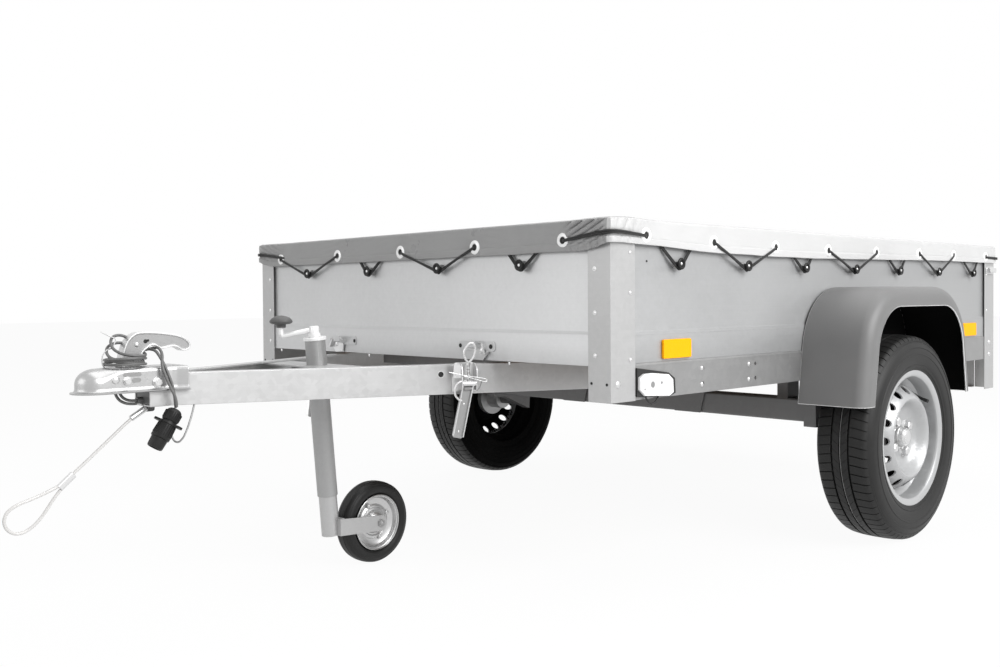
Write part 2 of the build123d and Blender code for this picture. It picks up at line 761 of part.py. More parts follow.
# ---------------------------------------------------------------- wheels
# sections as (outwards from the wheel's centre plane, radius)
half = tyre_width / 2
rim_half = rim_width / 2
tyre_outside = [
    (rim_half - 1, rim_radius + 0.4), (rim_half - 1, rim_lip), (rim_half + 3, rim_lip + 4),
    (half, tyre_radius - tyre_bulge), (half - 4, tyre_radius - tyre_shoulder), (half - 18, tyre_radius - 5),
    (half - 34, tyre_radius - 1), (0, tyre_radius),
]
tyre_inside = [
    (0, tyre_radius - tyre_wall), (half - 26, tyre_radius - tyre_wall - 5),
    (half - tyre_wall, tyre_radius - tyre_bulge), (rim_half - 14, rim_radius + 14),
    (rim_half - 18, rim_radius + 0.4),
]
rim_outside = [
    (-rim_half - 5, rim_lip), (-rim_half - 1, rim_lip), (-rim_half - 0.6, rim_radius),
    (-44, rim_radius - 1), (-30, rim_well), (8, rim_well), (24, rim_radius - 1),
    (rim_half - 0.6, rim_radius), (rim_half + 1, rim_lip), (rim_half + 5, rim_lip),
]
rim_inside = [
    (rim_half + 5, rim_lip - 3), (rim_half + 4.4, rim_lip - 9), (rim_half + 3, rim_radius + 2),
    (rim_half, rim_radius - 2.6), (rim_half - 6, rim_radius - rim_sheet),
    (26, rim_radius - 1 - rim_sheet), (10, rim_well - rim_sheet), (-32, rim_well - rim_sheet),
    (-46, rim_radius - 1 - rim_sheet), (-rim_half - 3, rim_radius - rim_sheet),
    (-rim_half - 5, rim_lip - 3),
]
disc_outside = [
    (8, rim_well - rim_sheet / 2), (20, disc_ring + 14), (36, disc_ring + 9), (47, disc_ring),
    (56, disc_ring - 8), (62, disc_ring - 16), (64, disc_ring - 21), (61, disc_ring - 27),
    (48, disc_ring - 36), (35, disc_ring - 44), (29, disc_ring - 56),
    (rim_face, hub_radius), (rim_face, cap_radius + 1),
]
for side_name, side in sides:
    centre = Vector(side * track_half, axle_y, tyre_radius)
    section = Plane(origin=centre, x_dir=(side, 0, 0), z_dir=(0, -side, 0))
    spin = Axis(centre, (1, 0, 0))
    with BuildPart() as tyre:
        with BuildSketch(section):
            with BuildLine():
                far_outside = [(-x, r) for x, r in tyre_outside[-2::-1]]
                far_inside = [(-x, r) for x, r in tyre_inside[::-1][:-1]]
                Polyline(tyre_outside + far_outside + far_inside + tyre_inside, close=True)
            make_face()
        revolve(axis=spin)
    tyre.part.label = f"tyre_{side_name}"
    export_step(tyre.part, f"parts/tyre_{side_name}.step")

    with BuildPart() as rim:
        with BuildSketch(section):
            with BuildLine():
                Polyline(rim_outside + rim_inside, close=True)
            make_face()
            with BuildLine():
                back = [(x - rim_sheet, r - 1) for x, r in disc_outside[::-1]]
                back[0] = (rim_face - rim_sheet, cap_radius + 1)
                Polyline(disc_outside + back, close=True)
            make_face()
        revolve(axis=spin)
        with BuildSketch(Plane(origin=centre, x_dir=(0, 1, 0), z_dir=(side, 0, 0))):
            with PolarLocations(disc_ring, disc_holes):
                Circle(disc_hole_radius)
        extrude(amount=rim_half, mode=Mode.SUBTRACT)
    rim.part.label = f"rim_{side_name}"
    export_step(rim.part, f"parts/rim_{side_name}.step")

    with BuildPart() as hub:
        with BuildSketch(section):
            with BuildLine():
                bore = stub_radius + stub_clearance
                Polyline(
                    (hub_inner, bore), (hub_inner, 36), (0, 36), (0, hub_radius),
                    (rim_face - rim_sheet - seat_gap, hub_radius),
                    (rim_face - rim_sheet - seat_gap, cap_radius), (cap_reach - 6, cap_radius),
                    (cap_reach, cap_radius - 8), (cap_reach, 0), (cap_reach - 4, 0),
                    (cap_reach - 4, cap_radius - 6), (hub_outer, cap_radius - 6),
                    (hub_outer - 2, bore), close=True,
                )
            make_face()
        revolve(axis=spin)
    hub.part.label = f"hub_{side_name}"
    export_step(hub.part, f"parts/hub_{side_name}.step")

# ---------------------------------------------------------------- fenders
def fender_arch(front_inset, rear_inset, lowered):
    """Corners of the arch, from its front foot round to its rear one; lowered is at the top."""
    start = front + fender_front + front_inset
    end = front + fender_rear - rear_inset
    top = fender_top - lowered
    lean_in = (top - fender_foot) * tan(radians(fender_lean))
    return [(start, fender_foot), (start + lean_in, top), (end - lean_in, top), (end, fender_foot)]


fender_start = half_width - rail_inset + seat_gap
# rows: inset of the arch and of its outer face, corner radius, rounding of the outer edge
fender_skins = (
    (0, fender_corner, fender_edge),
    (fender_wall, fender_corner - fender_wall, fender_edge - fender_wall),
)
skins = []
for inset, corner, edge in fender_skins:
    with BuildPart() as skin:
        with BuildSketch(Plane.YZ.offset(fender_start)):
            with BuildLine():
                a, b, c, d = fender_arch(inset, inset, inset)
                arch = FilletPolyline(a, b, c, d, radius=corner)
                Line(arch @ 1, arch @ 0)
            make_face()
        extrude(amount=fender_width - inset)
        outer = skin.faces().sort_by(Axis.X)[-1]
        fillet([e for e in outer.edges() if e.center().Z > fender_foot + 1], radius=edge)
    skins.append(skin.part)
with BuildPart() as fender:
    add(skins[0])
    add(skins[1], mode=Mode.SUBTRACT)
    with BuildSketch(Plane.YZ.offset(fender_start)):
        with BuildLine():
            a, b, c, d = fender_arch(fender_lip_front, fender_lip_rear, fender_lip_top)
            arch = FilletPolyline(a, b, c, d, radius=fender_opening_corner)
            Line(arch @ 1, arch @ 0)
        make_face()
    extrude(amount=fender_width, mode=Mode.SUBTRACT)
with BuildPart() as fenders:
    for _, piece in both_sides(fender.part):
        add(piece)
fenders.part.label = "fenders"
export_step(fenders.part, "parts/fenders.step")

# ---------------------------------------------------------------- tipping pivot and rests
with BuildPart() as tip_lugs:
    for _, side in sides:
        start = leg_spread_half + tip_lug_gap
        with BuildSketch(Plane.YZ.offset(side * start)):
            with BuildLine():
                y = tip_y - tip_lug_half
                Polyline((y, floor_foot - seat_gap), (tip_y - 16, tip_height - 14),
                         (tip_y + 16, tip_height - 14), (y + 2 * tip_lug_half, floor_foot - seat_gap),
                         close=True)
            make_face()
            with Locations((tip_y, tip_height)):
                Circle(18)
        extrude(amount=side * tip_lug_sheet)
        with BuildSketch(Plane.YZ.offset(side * (leg_spread_half - leg_sheet - 12))):
            with Locations((tip_y, tip_height)):
                Circle(tip_pin_radius)
        extrude(amount=side * (leg_sheet + 12 + tip_lug_gap + 2))
tip_lugs.part.label = "tip_lugs"
export_step(tip_lugs.part, "parts/tip_lugs.step")

with BuildPart() as rest_pads:
    with BuildSketch(Plane.XY.offset(rest_top)):
        for _, side in sides:
            with Locations((side * rest_bracket_x, front + torsion_back)):
                Rectangle(rest_pad_length, rest_pad_depth)
    extrude(amount=rest_pad)
rest_pads.part.label = "rest_pads"
export_step(rest_pads.part, "parts/rest_pads.step")

# ---------------------------------------------------------------- lamps and reflectors
with BuildPart() as reflectors:
    for place in (front + reflector_front, rear - reflector_rear):
        for _, side in sides:
            with BuildSketch(Plane.YZ.offset(side * (half_width - band_inset))):
                with Locations((place, reflector_level)):
                    RectangleRounded(reflector_length, reflector_height, reflector_corner)
            extrude(amount=side * reflector_depth)
reflectors.part.label = "reflectors"
export_step(reflectors.part, "parts/reflectors.step")

with BuildPart() as marker_lamps:
    for _, side in sides:
        for outline, depth in ((marker_holder, marker_holder_depth), (marker_lens, marker_lens_depth)):
            with BuildSketch(Plane.YZ.offset(side * (half_width - rail_inset + seat_gap))):
                with BuildLine():
                    Polyline([(front + y, z) for y, z in outline], close=True)
                make_face()
            extrude(amount=side * depth)
marker_lamps.part.label = "marker_lamps"
export_step(marker_lamps.part, "parts/marker_lamps.step")

lamp_bar_half = half_width - post_front_face - seat_gap
with BuildPart() as rear_lamp_bar:
    with BuildSketch(Plane.YZ.offset(-lamp_bar_half)):
        with BuildLine():
            y = rear - lamp_bar_inset
            s = lamp_bar_sheet
            Polyline((y, rear_post_foot), (y, rail_foot), (y - 22, rail_foot), (y - 22, rail_foot - s),
                     (y - s, rail_foot - s), (y - s, rear_post_foot + s),
                     (y - 22, rear_post_foot + s), (y - 22, rear_post_foot), close=True)
        make_face()
    extrude(amount=2 * lamp_bar_half)
rear_lamp_bar.part.label = "rear_lamp_bar"
export_step(rear_lamp_bar.part, "parts/rear_lamp_bar.step")

with BuildPart() as rear_lamps:
    with BuildSketch(Plane.XZ.offset(-(rear - lamp_bar_inset))):
        for _, side in sides:
            with Locations((side * (lamp_bar_half - rear_lamp_length / 2 - 8),
                            (rear_post_foot + rail_foot) / 2)):
                RectangleRounded(rear_lamp_length, rear_lamp_height, 8)
    extrude(amount=-rear_lamp_depth)
rear_lamps.part.label = "rear_lamps"
export_step(rear_lamps.part, "parts/rear_lamps.step")

# ---------------------------------------------------------------- tailgate
tailgate_half = half_width - post_front_face - tailgate_gap
tailgate_foot = floor_foot - 1
hinge_y = rear + hinge_stand
tailgate_layers = (0.6, 4.6)  # inset of its lower band and of its upper face from the posts
with BuildPart() as tailgate:
    with BuildSketch(Plane.YZ.offset(-tailgate_half)):
        with BuildLine():
            s = wall_sheet
            band, wall = tailgate_layers
            inner = tailgate_thickness
            profile = [
                (band, tailgate_foot), (band, panel_fold), (wall, panel_fold + fold_rise),
                (wall, tailgate_top), (inner, tailgate_top), (inner, tailgate_top - hem_height),
                (inner - s, tailgate_top - hem_height), (inner - s, tailgate_top - s),
                (wall + s, tailgate_top - s), (wall + s, panel_fold + fold_rise),
                (band + s, panel_fold), (band + s, tailgate_foot + s),
                (inner, tailgate_foot + s), (inner, tailgate_foot),
            ]
            Polyline([(rear - i, z) for i, z in profile], close=True)
        make_face()
    extrude(amount=2 * tailgate_half)
    # hinge leaves with their knuckles, behind the posts' face
    for place in hinge_places:
        for _, side in sides:
            with BuildSketch(Plane.YZ.offset(side * place)):
                with BuildLine():
                    Polyline((rear - band, hinge_height - 4), (rear - band, hinge_height + 40),
                             (rear - band + 3, hinge_height + 40), (hinge_y + 2, hinge_height + 4),
                             (hinge_y + 2, hinge_height - 4), close=True)
                make_face()
                with Locations((hinge_y, hinge_height)):
                    Circle(hinge_radius)
            extrude(amount=side * hinge_width)
            with BuildSketch(Plane.YZ.offset(side * (place - hinge_width))):
                with Locations((hinge_y, hinge_height)):
                    Circle(hinge_pin)
            extrude(amount=side * hinge_width)
tailgate.part.label = "tailgate"
export_step(tailgate.part, "parts/tailgate.step")

with BuildPart() as rear_sill:
    with BuildSketch(Plane.YZ.offset(-crossmember_half)):
        with BuildLine():
            y, z, s = rear - sill_inset, rail_foot + seat_gap, crossmember_sheet
            Polyline((y, z), (y, sill_top), (y - sill_depth, sill_top), (y - sill_depth, sill_top - s),
                     (y - s, sill_top - s), (y - s, z + s), (y - sill_depth, z + s),
                     (y - sill_depth, z), close=True)
        make_face()
    extrude(amount=2 * crossmember_half)
    # eyes that the tailgate's hinge pins turn in
    for place in hinge_places:
        for _, side in sides:
            with BuildSketch(Plane.YZ.offset(side * (place - 1))):
                with BuildLine():
                    y = rear - sill_inset
                    Polyline((y, hinge_height - 16), (y, hinge_height + hinge_radius),
                             (hinge_y, hinge_height + hinge_radius),
                             (hinge_y, hinge_height - hinge_radius), close=True)
                make_face()
                with Locations((hinge_y, hinge_height)):
                    Circle(hinge_radius)
                    Circle(hinge_pin + pin_clearance, mode=Mode.SUBTRACT)
            extrude(amount=-side * (hinge_width - 2))
rear_sill.part.label = "rear_sill"
export_step(rear_sill.part, "parts/rear_sill.step")

# ---------------------------------------------------------------- tarpaulin
tarp_under = wall_top + seat_gap
tarp_inner = half_width + tarp_gap
with BuildPart() as tarp:
    with BuildSketch(Plane.XY.offset(tarp_hem)):
        with BuildLine():
            w = tarp_inner + tarp_sheet
            Polyline((-w, front - tarp_gap - tarp_sheet), (w, front - tarp_gap - tarp_sheet),
                     (w, rear + tarp_gap + tarp_sheet), (-w, rear + tarp_gap + tarp_sheet), close=True)
        make_face()
    extrude(amount=tarp_under + tarp_sheet - tarp_hem)
    with BuildSketch(Plane.XY.offset(tarp_hem)):
        with BuildLine():
            w = tarp_inner
            Polyline((-w, front - tarp_gap), (w, front - tarp_gap), (w, rear + tarp_gap),
                     (-w, rear + tarp_gap), close=True)
        make_face()
    extrude(amount=tarp_under - tarp_hem, mode=Mode.SUBTRACT)
    # the rear skirt over the tailgate is a flap of its own
    with BuildSketch(Plane.XZ.offset(-(rear - 10))):
        with BuildLine():
            w = tailgate_half + tailgate_gap
            Polyline((-w, tarp_hem), (w, tarp_hem), (w, tarp_under), (-w, tarp_under),
                     close=True)
        make_face()
    extrude(amount=-30, mode=Mode.SUBTRACT)
tarp.part.label = "tarp"
export_step(tarp.part, "parts/tarp.step")

flap_inner = rear - tailgate_layers[1] + seat_gap
with BuildPart() as tarp_flap:
    with BuildSketch(Plane.XZ.offset(-flap_inner)):
        with BuildLine():
            Polyline((-tailgate_half, tarp_hem), (tailgate_half, tarp_hem), (tailgate_half, tailgate_top),
                     (-tailgate_half, tailgate_top), close=True)
        make_face()
    extrude(amount=-tarp_sheet)
tarp_flap.part.label = "tarp_flap"
export_step(tarp_flap.part, "parts/tarp_flap.step")

# buttons on the walls, for the elastic: (wall, place along it)
side_buttons = [side_first_button + i * side_pitch for i in range(7)]
front_buttons = [(i - 1.5) * front_pitch for i in range(4)]
button_planes = []
for _, side in sides:
    face = side * (half_width - wall_inset)
    for place in side_buttons:
        button_planes.append(Plane(origin=(face, front + place, button_height), z_dir=(side, 0, 0)))
for x in front_buttons:
    button_planes.append(Plane(origin=(x, front + wall_inset, button_height), z_dir=(0, -1, 0)))
rear_button_planes = [
    Plane(origin=(x, rear - tailgate_layers[1], button_height), z_dir=(0, 1, 0)) for x in front_buttons
]
for node, planes in (("tarp_buttons", button_planes), ("tarp_buttons_rear", rear_button_planes)):
    with BuildPart() as buttons:
        for plane in planes:
            with BuildSketch(plane):
                Circle(button_stem)
            extrude(amount=button_reach)
            with BuildSketch(plane.offset(button_reach - 4)):
                Circle(button_head)
            extrude(amount=4)
    buttons.part.label = node
    export_step(buttons.part, f"parts/{node}.step")

# ---------------------------------------------------------------- latches
with BuildPart() as hook_plates:
    for _, side in sides:
        with BuildSketch(Plane.XZ.offset(-(front + band_inset))):
            with Locations((side * hook_x, hook_level)):
                RectangleRounded(hook_plate_length, hook_plate_height, 8)
        extrude(amount=hook_plate_sheet)
        with BuildSketch(Plane.YZ.offset(side * hook_x - 14)):
            with BuildLine():
                y = front + band_inset - hook_plate_sheet
                Polyline((y, hook_level - 8), (y - hook_reach, hook_level - 2),
                         (y - hook_reach, hook_level + 12), (y - hook_reach + 4, hook_level + 12),
                         (y - hook_reach + 4, hook_level + 3), (y, hook_level + 2), close=True)
            make_face()
        extrude(amount=28)
hook_plates.part.label = "hook_plates"
export_step(hook_plates.part, "parts/hook_plates.step")

lean = radians(leg_angle)
leg_along = Vector(sin(lean), cos(lean), 0)
leg_out = Vector(cos(lean), -sin(lean), 0)
latch_middle = Vector(leg_nose_half, front + leg_bend, leg_foot + leg_height / 2) + leg_along * latch_along
with BuildPart() as latch:
    web_face = Plane(origin=latch_middle, x_dir=leg_along, z_dir=leg_out)
    with BuildSketch(web_face):
        RectangleRounded(latch_plate_width, leg_height - 12, 6)
    extrude(amount=4)
    for ear in (-1, 1):
        with BuildSketch(web_face.offset(4)):
            with Locations((ear * (latch_lever_width / 2 + 2.5), 0)):
                Rectangle(3, leg_height - 20)
        extrude(amount=22)
    with BuildSketch(Plane(origin=latch_middle + leg_out * 15 - leg_along * (latch_lever_width / 2 + 1),
                           z_dir=leg_along)):
        Circle(4)
    extrude(amount=latch_lever_width + 2)
    lever_face = Plane(origin=latch_middle + leg_out * 12 + leg_along * 8, x_dir=leg_along, z_dir=leg_out)
    lever_face = lever_face.rotated((0, 0, -latch_lever_lean))
    with BuildSketch(lever_face):
        with Locations((0, -latch_lever_length / 2 + 3)):
            Rectangle(latch_lever_width - 2, latch_lever_length)
    extrude(amount=3)
    for edge in (-1, 1):
        with BuildSketch(lever_face.offset(3)):
            with Locations((edge * (latch_lever_width / 2 - 2.25), -latch_lever_length / 2 + 3)):
                Rectangle(2.5, latch_lever_length)
        extrude(amount=9)
    # upright ring that hooks over the bed's hook plate
    ring_face = Plane(origin=latch_middle + leg_out * 20, x_dir=leg_along, z_dir=leg_out)
    ring_top = latch_ring_top - latch_middle.Z
    with BuildSketch(ring_face):
        with Locations((0, ring_top / 2)):
            RectangleRounded(latch_lever_width - 4, ring_top + 8, 9)
            RectangleRounded(latch_lever_width - 14, ring_top - 2, 4.5, mode=Mode.SUBTRACT)
    extrude(amount=5, both=True)
with BuildPart() as latches:
    for _, piece in both_sides(latch.part):
        add(piece)
latches.part.label = "drawbar_latches"
export_step(latches.part, "parts/drawbar_latches.step")

with BuildPart() as rear_latches:
    for _, side in sides:
        with BuildSketch(Plane.YZ.offset(side * half_width)):
            with Locations((rear - rear_post_side_face / 2 - 2, rear_latch_level)):
                RectangleRounded(*rear_latch_plate)
        extrude(amount=side * rear_latch_sheet)
        with BuildSketch(Plane.YZ.offset(side * (half_width + rear_latch_sheet))):
            with Locations((rear - rear_post_side_face / 2 - 2, rear_latch_level)):
                RectangleRounded(*rear_latch_case)
        extrude(amount=side * rear_latch_depth)
rear_latches.part.label = "rear_latches"
export_step(rear_latches.part, "parts/rear_latches.step")

# ---------------------------------------------------------------- electric lead and safety rope
def placed(points):
    return [Vector(x, front + y, z) for x, y, z in points]


def bend_radii(points):
    radii = []
    for before, here, after in zip(points, points[1:], points[2:]):
        turn = (here - before).get_angle(after - here)
        run = min((here - before).length, (after - here).length)
        radii.append(0.45 * run / tan(radians(turn / 2)))
    return radii


# rows: node, route, radius of its section
cord_tubes = (
    ("cable_lead", lead_points, cable_radius),
    ("cable_tail", tail_points, cable_radius),
    ("rope_loop", loop_points, rope_radius),
    ("plug_hook", hook_wire_points, hook_wire_radius),
)
for node, route, radius in cord_tubes:
    points = placed(route)
    radii = bend_radii(points)
    with BuildPart() as tube:
        with BuildLine() as path:
            FilletPolyline(*points, radius=radii)
        with BuildSketch(Plane(origin=points[0], z_dir=points[1] - points[0])):
            Circle(radius)
        sweep()
    tube.part.label = node
    export_step(tube.part, f"parts/{node}.step")
    length = sum(edge.length for edge in path.edges())
    swept = tube.part.volume / (pi * radius**2)
    print(node, "length", round(length, 1), "from volume", round(swept, 1),
          "radii", [round(r, 1) for r in radii])

with BuildPart() as cable_coil:
    with BuildSketch(Plane.XY.offset(coupler_top + seat_gap)):
        with Locations((0, front + coil_middle)):
            Circle(coil_outer)
            Circle(coil_inner, mode=Mode.SUBTRACT)
    extrude(amount=2 * cable_radius * coil_turns)
    fillet(cable_coil.edges(), radius=cable_radius)
cable_coil.part.label = "cable_coil"
export_step(cable_coil.part, "parts/cable_coil.step")

plug_top = placed([plug_place])[0]
plug_down = Vector(0, -sin(radians(plug_lean)), -cos(radians(plug_lean)))
with BuildPart() as plug:
    # rows: start along the plug, length, radius
    for start, length, radius in ((0, plug_cap, plug_radius - 1),
                                  (plug_cap - 4, 4, plug_radius + 2.5),
                                  (plug_cap, plug_length - plug_cap, plug_radius - 1.5)):
        with BuildSketch(Plane(origin=plug_top + plug_down * start, x_dir=(1, 0, 0), z_dir=plug_down)):
            Circle(radius)
        extrude(amount=length)
    # lugs of the bayonet collar, and the neck that grips the lead
    with BuildSketch(Plane(origin=plug_top + plug_down * (plug_cap - 4), x_dir=(1, 0, 0),
                           z_dir=plug_down)):
        SlotOverall(2 * plug_lug_half, 10, rotation=90)
    extrude(amount=5)
    neck = Vector(*tail_points[-1]) + Vector(0, front, 0)
    with BuildSketch(Plane(origin=neck - Vector(0, 0, 16), z_dir=(0, 0, 1))):
        Circle(cable_radius + 2.5)
    extrude(amount=16)
plug.part.label = "plug"
export_step(plug.part, "parts/plug.step")

crimp_from, crimp_to = placed(crimp_ends)
ferrule_from, ferrule_to = placed(ferrule_ends)
with BuildPart() as rope_fittings:
    with BuildSketch(Plane(origin=crimp_from, z_dir=crimp_to - crimp_from)):
        Circle(crimp_radius)
    extrude(amount=(crimp_to - crimp_from).length)
    with BuildSketch(Plane(origin=ferrule_from, x_dir=(1, 0, 0), z_dir=ferrule_to - ferrule_from)):
        RectangleRounded(2 * ferrule_half_depth, 2 * ferrule_half_width, ferrule_half_depth - 0.5)
    extrude(amount=(ferrule_to - ferrule_from).length)
rope_fittings.part.label = "rope_fittings"
export_step(rope_fittings.part, "parts/rope_fittings.step")
with BuildPart() as rope:
    way = (ferrule_from - crimp_to).normalized()
    with BuildSketch(Plane(origin=crimp_to - way * rope_end_depth, z_dir=way)):
        Circle(rope_radius)
    extrude(amount=(ferrule_from - crimp_to).length + 2 * rope_end_depth)
rope.part.label = "rope"
export_step(rope.part, "parts/rope.step")

# places of the joints, for the record
print("tipping pin", tip_y, tip_height, "axle", axle_y, tyre_radius, "tailgate hinge", hinge_y, hinge_height)
print("jockey tube", jockey_clamp, jockey_up, "wheel", jockey_pin, wheel_side)
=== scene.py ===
import json
import math

import bmesh
import bpy
from mathutils import Matrix, Vector
from mathutils import noise as fieldNoise

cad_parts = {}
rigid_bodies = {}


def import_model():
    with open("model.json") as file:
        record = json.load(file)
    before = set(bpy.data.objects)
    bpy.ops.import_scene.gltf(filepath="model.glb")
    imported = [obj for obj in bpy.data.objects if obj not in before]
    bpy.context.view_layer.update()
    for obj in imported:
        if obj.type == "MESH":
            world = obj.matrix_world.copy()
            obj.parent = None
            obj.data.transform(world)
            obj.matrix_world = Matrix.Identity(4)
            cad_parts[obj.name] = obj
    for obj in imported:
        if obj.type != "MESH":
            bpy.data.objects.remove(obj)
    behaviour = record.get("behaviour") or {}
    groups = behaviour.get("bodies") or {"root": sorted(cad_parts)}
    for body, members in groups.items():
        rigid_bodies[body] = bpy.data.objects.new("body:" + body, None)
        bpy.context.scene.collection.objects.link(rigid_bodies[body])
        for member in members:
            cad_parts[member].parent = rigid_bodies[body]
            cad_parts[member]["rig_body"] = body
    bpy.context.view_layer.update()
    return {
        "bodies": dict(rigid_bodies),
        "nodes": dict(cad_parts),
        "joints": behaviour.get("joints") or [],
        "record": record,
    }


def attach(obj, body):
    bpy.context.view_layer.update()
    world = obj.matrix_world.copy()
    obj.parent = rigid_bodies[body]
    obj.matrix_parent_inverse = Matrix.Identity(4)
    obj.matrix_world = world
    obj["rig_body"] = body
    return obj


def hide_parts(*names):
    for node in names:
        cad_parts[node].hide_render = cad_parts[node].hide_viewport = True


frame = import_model()
scene = bpy.context.scene

# driving sizes that several pieces share, in metres; y runs back from the coupling
trailer = {
    "front": -0.60865,
    "rear": 1.43015,
    "halfWidth": 0.6827,
    "axleBack": 0.43825,
    "wheelRadius": 0.2735,
    "track": 0.779,
}


# y of a place given behind the front posts
def back(distance):
    return trailer["front"] + distance


# camera, before anything that depends on the view
cameraSettings = {
    "place": (2.0337, -2.2177, 0.6517),
    "yaw": 46.23,
    "pitch": -1.146,
    "roll": -0.395,
    "lens": 36.58,
    "shiftUp": -0.015,
}


def addCamera(settings):
    data = bpy.data.cameras.new("studioCamera")
    data.lens = settings["lens"]
    data.sensor_width = 36.0
    data.shift_y = settings["shiftUp"]
    data.clip_end = 60.0
    camera = bpy.data.objects.new("studioCamera", data)
    scene.collection.objects.link(camera)
    turn = Matrix.Rotation(math.radians(settings["yaw"]), 4, "Z")
    tilt = Matrix.Rotation(math.radians(90.0 + settings["pitch"]), 4, "X")
    roll = Matrix.Rotation(math.radians(settings["roll"]), 4, "Z")
    camera.matrix_world = Matrix.Translation(settings["place"]) @ turn @ tilt @ roll
    scene.camera = camera


addCamera(cameraSettings)
print("camera set")

# electric lead: out of its gland, turns round the handle's neck, loose loops and down to the plug;
# points are (side, behind the front posts, height) in millimetres
cableRoute = {
    "radius": 3.0,
    "lead": ((-6.0, -700.0, 445.0), (-7.0, -709.0, 444.6), (-11.0, -719.0, 447.0), (-17.0, -727.0, 454.0),
             (-21.0, -731.0, 467.0), (-24.0, -731.0, 485.0), (-28.0, -730.0, 503.0), (-34.0, -728.0, 515.0)),
    "coilMiddle": -727.0,
    "coilRadius": 40.0,
    "coilTurns": 2.75,
    "coilFoot": 519.6,
    "coilTop": 535.0,
    "pointsPerTurn": 16,
    # the last turns stand up to the left: right along the view, towards the view, height
    "loops": ((36.0, 22.0, 532.0), (8.0, 38.0, 531.0), (-16.0, 36.0, 536.0), (-28.0, 25.0, 548.0),
              (-29.0, 12.0, 560.0), (-16.0, -4.0, 567.0), (2.0, -18.0, 562.0), (22.0, -28.0, 550.0),
              (38.0, -18.0, 541.5), (43.0, 0.0, 539.0), (40.0, 14.0, 539.5), (24.0, 28.0, 540.5),
              (4.0, 32.0, 545.0), (-14.0, 27.0, 555.0), (-22.0, 17.0, 569.0), (-21.0, 5.0, 580.0),
              (-8.0, -8.0, 582.0), (10.0, -20.0, 570.0), (26.0, -22.0, 556.0)),
    "tail": ((4.0, -676.0, 551.0), (18.0, -669.0, 549.0), (32.0, -667.0, 538.0),
             (44.0, -663.0, 522.0), (52.0, -657.0, 500.0), (57.0, -650.0, 474.0), (58.0, -646.5, 450.0),
             (58.0, -645.0, 430.0)),
}
# safety rope: down from its crimp, through the ferrule and round its hand loop
ropeRoute = {
    "radius": 3.3,
    "points": ((0.0, -700.0, 417.9), (0.0, -715.0, 409.0), (0.0, -756.0, 374.5), (0.0, -797.0, 340.0),
               (0.0, -833.0, 310.5), (0.0, -858.0, 290.8), (0.0, -882.0, 281.0), (0.0, -901.0, 274.5),
               (0.0, -920.0, 269.0), (0.0, -937.0, 264.4), (0.0, -951.0, 258.0), (0.0, -961.2, 249.0),
               (0.0, -965.0, 235.0), (0.0, -961.2, 221.0), (0.0, -951.0, 210.8), (0.0, -937.0, 207.0),
               (0.0, -923.0, 210.8), (0.0, -909.0, 219.5), (0.0, -896.0, 232.0), (0.0, -885.0, 247.0),
               (0.0, -875.0, 261.5), (0.0, -866.0, 273.0), (0.0, -858.4, 281.4)),
}


def coilPoints(route):
    count = round(route["coilTurns"] * route["pointsPerTurn"])
    points = []
    for index in range(count + 1):
        share = index / count
        angle = math.radians(180.0) - share * route["coilTurns"] * math.tau
        reach = route["coilRadius"] + 2.4 * math.sin(share * 9.0)
        height = route["coilFoot"] + share * (route["coilTop"] - route["coilFoot"])
        height += 1.6 * math.sin(angle * 1.5 + 1.0) * min(share * 4.0, 1.0)
        points.append((reach * math.cos(angle), route["coilMiddle"] + reach * math.sin(angle), height))
    sight = math.radians(cameraSettings["yaw"])
    for right, near, height in route["loops"]:
        points.append((right * math.cos(sight) + near * math.sin(sight),
                       route["coilMiddle"] + right * math.sin(sight) - near * math.cos(sight), height))
    return tuple(points)


# the lead's second strand, from the gland over the coil and beside the first down to the plug
strandRoute = ((-6.0, -700.0, 438.4), (-7.0, -711.0, 438.2), (-11.0, -723.0, 440.5), (-19.0, -733.0, 448.0),
               (-25.0, -738.0, 464.0), (-27.0, -738.0, 485.0), (-27.0, -736.0, 505.0), (-26.0, -729.0, 524.0),
               (-25.0, -715.0, 538.0), (-18.0, -692.0, 547.0), (-6.0, -678.0, 549.5), (10.0, -668.0, 553.0),
               (21.0, -663.0, 555.0), (33.0, -660.0, 541.0), (47.1, -669.2, 520.0), (53.7, -665.2, 500.0),
               (58.8, -657.0, 474.0), (63.9, -645.9, 450.0), (61.0, -644.5, 432.0))


# an open smooth curve through the route, round in section
def makeCord(name, points, radius):
    data = bpy.data.curves.new(name, "CURVE")
    data.dimensions = "3D"
    spline = data.splines.new("NURBS")
    spline.points.add(len(points) - 1)
    for target, (side, behind, height) in zip(spline.points, points):
        target.co = (side / 1000, back(behind / 1000), height / 1000, 1.0)
        target.radius = radius / 1000  # the points' own radius is the cord's, so the bevel is 1
    spline.order_u = 3
    spline.use_endpoint_u = True
    spline.resolution_u = 6
    data.bevel_depth = 1.0
    data.bevel_resolution = 5
    data.use_fill_caps = True
    cord = bpy.data.objects.new(name, data)
    scene.collection.objects.link(cord)
    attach(cord, "drawbar")
    return cord


electricLead = makeCord("electricLead", cableRoute["lead"] + coilPoints(cableRoute) + cableRoute["tail"],
                        cableRoute["radius"])
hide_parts("cable_lead", "cable_coil", "cable_tail")
leadStrand = makeCord("leadStrand", strandRoute, cableRoute["radius"])
safetyRope = makeCord("safetyRope", ropeRoute["points"], ropeRoute["radius"])
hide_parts("rope", "rope_loop")
print("cords laid")


# shader building blocks
def addNode(tree, kind, **settings):
    node = tree.nodes.new(kind)
    for key, value in settings.items():
        setattr(node, key, value)
    return node


def link(tree, source, target):
    tree.links.new(source, target)


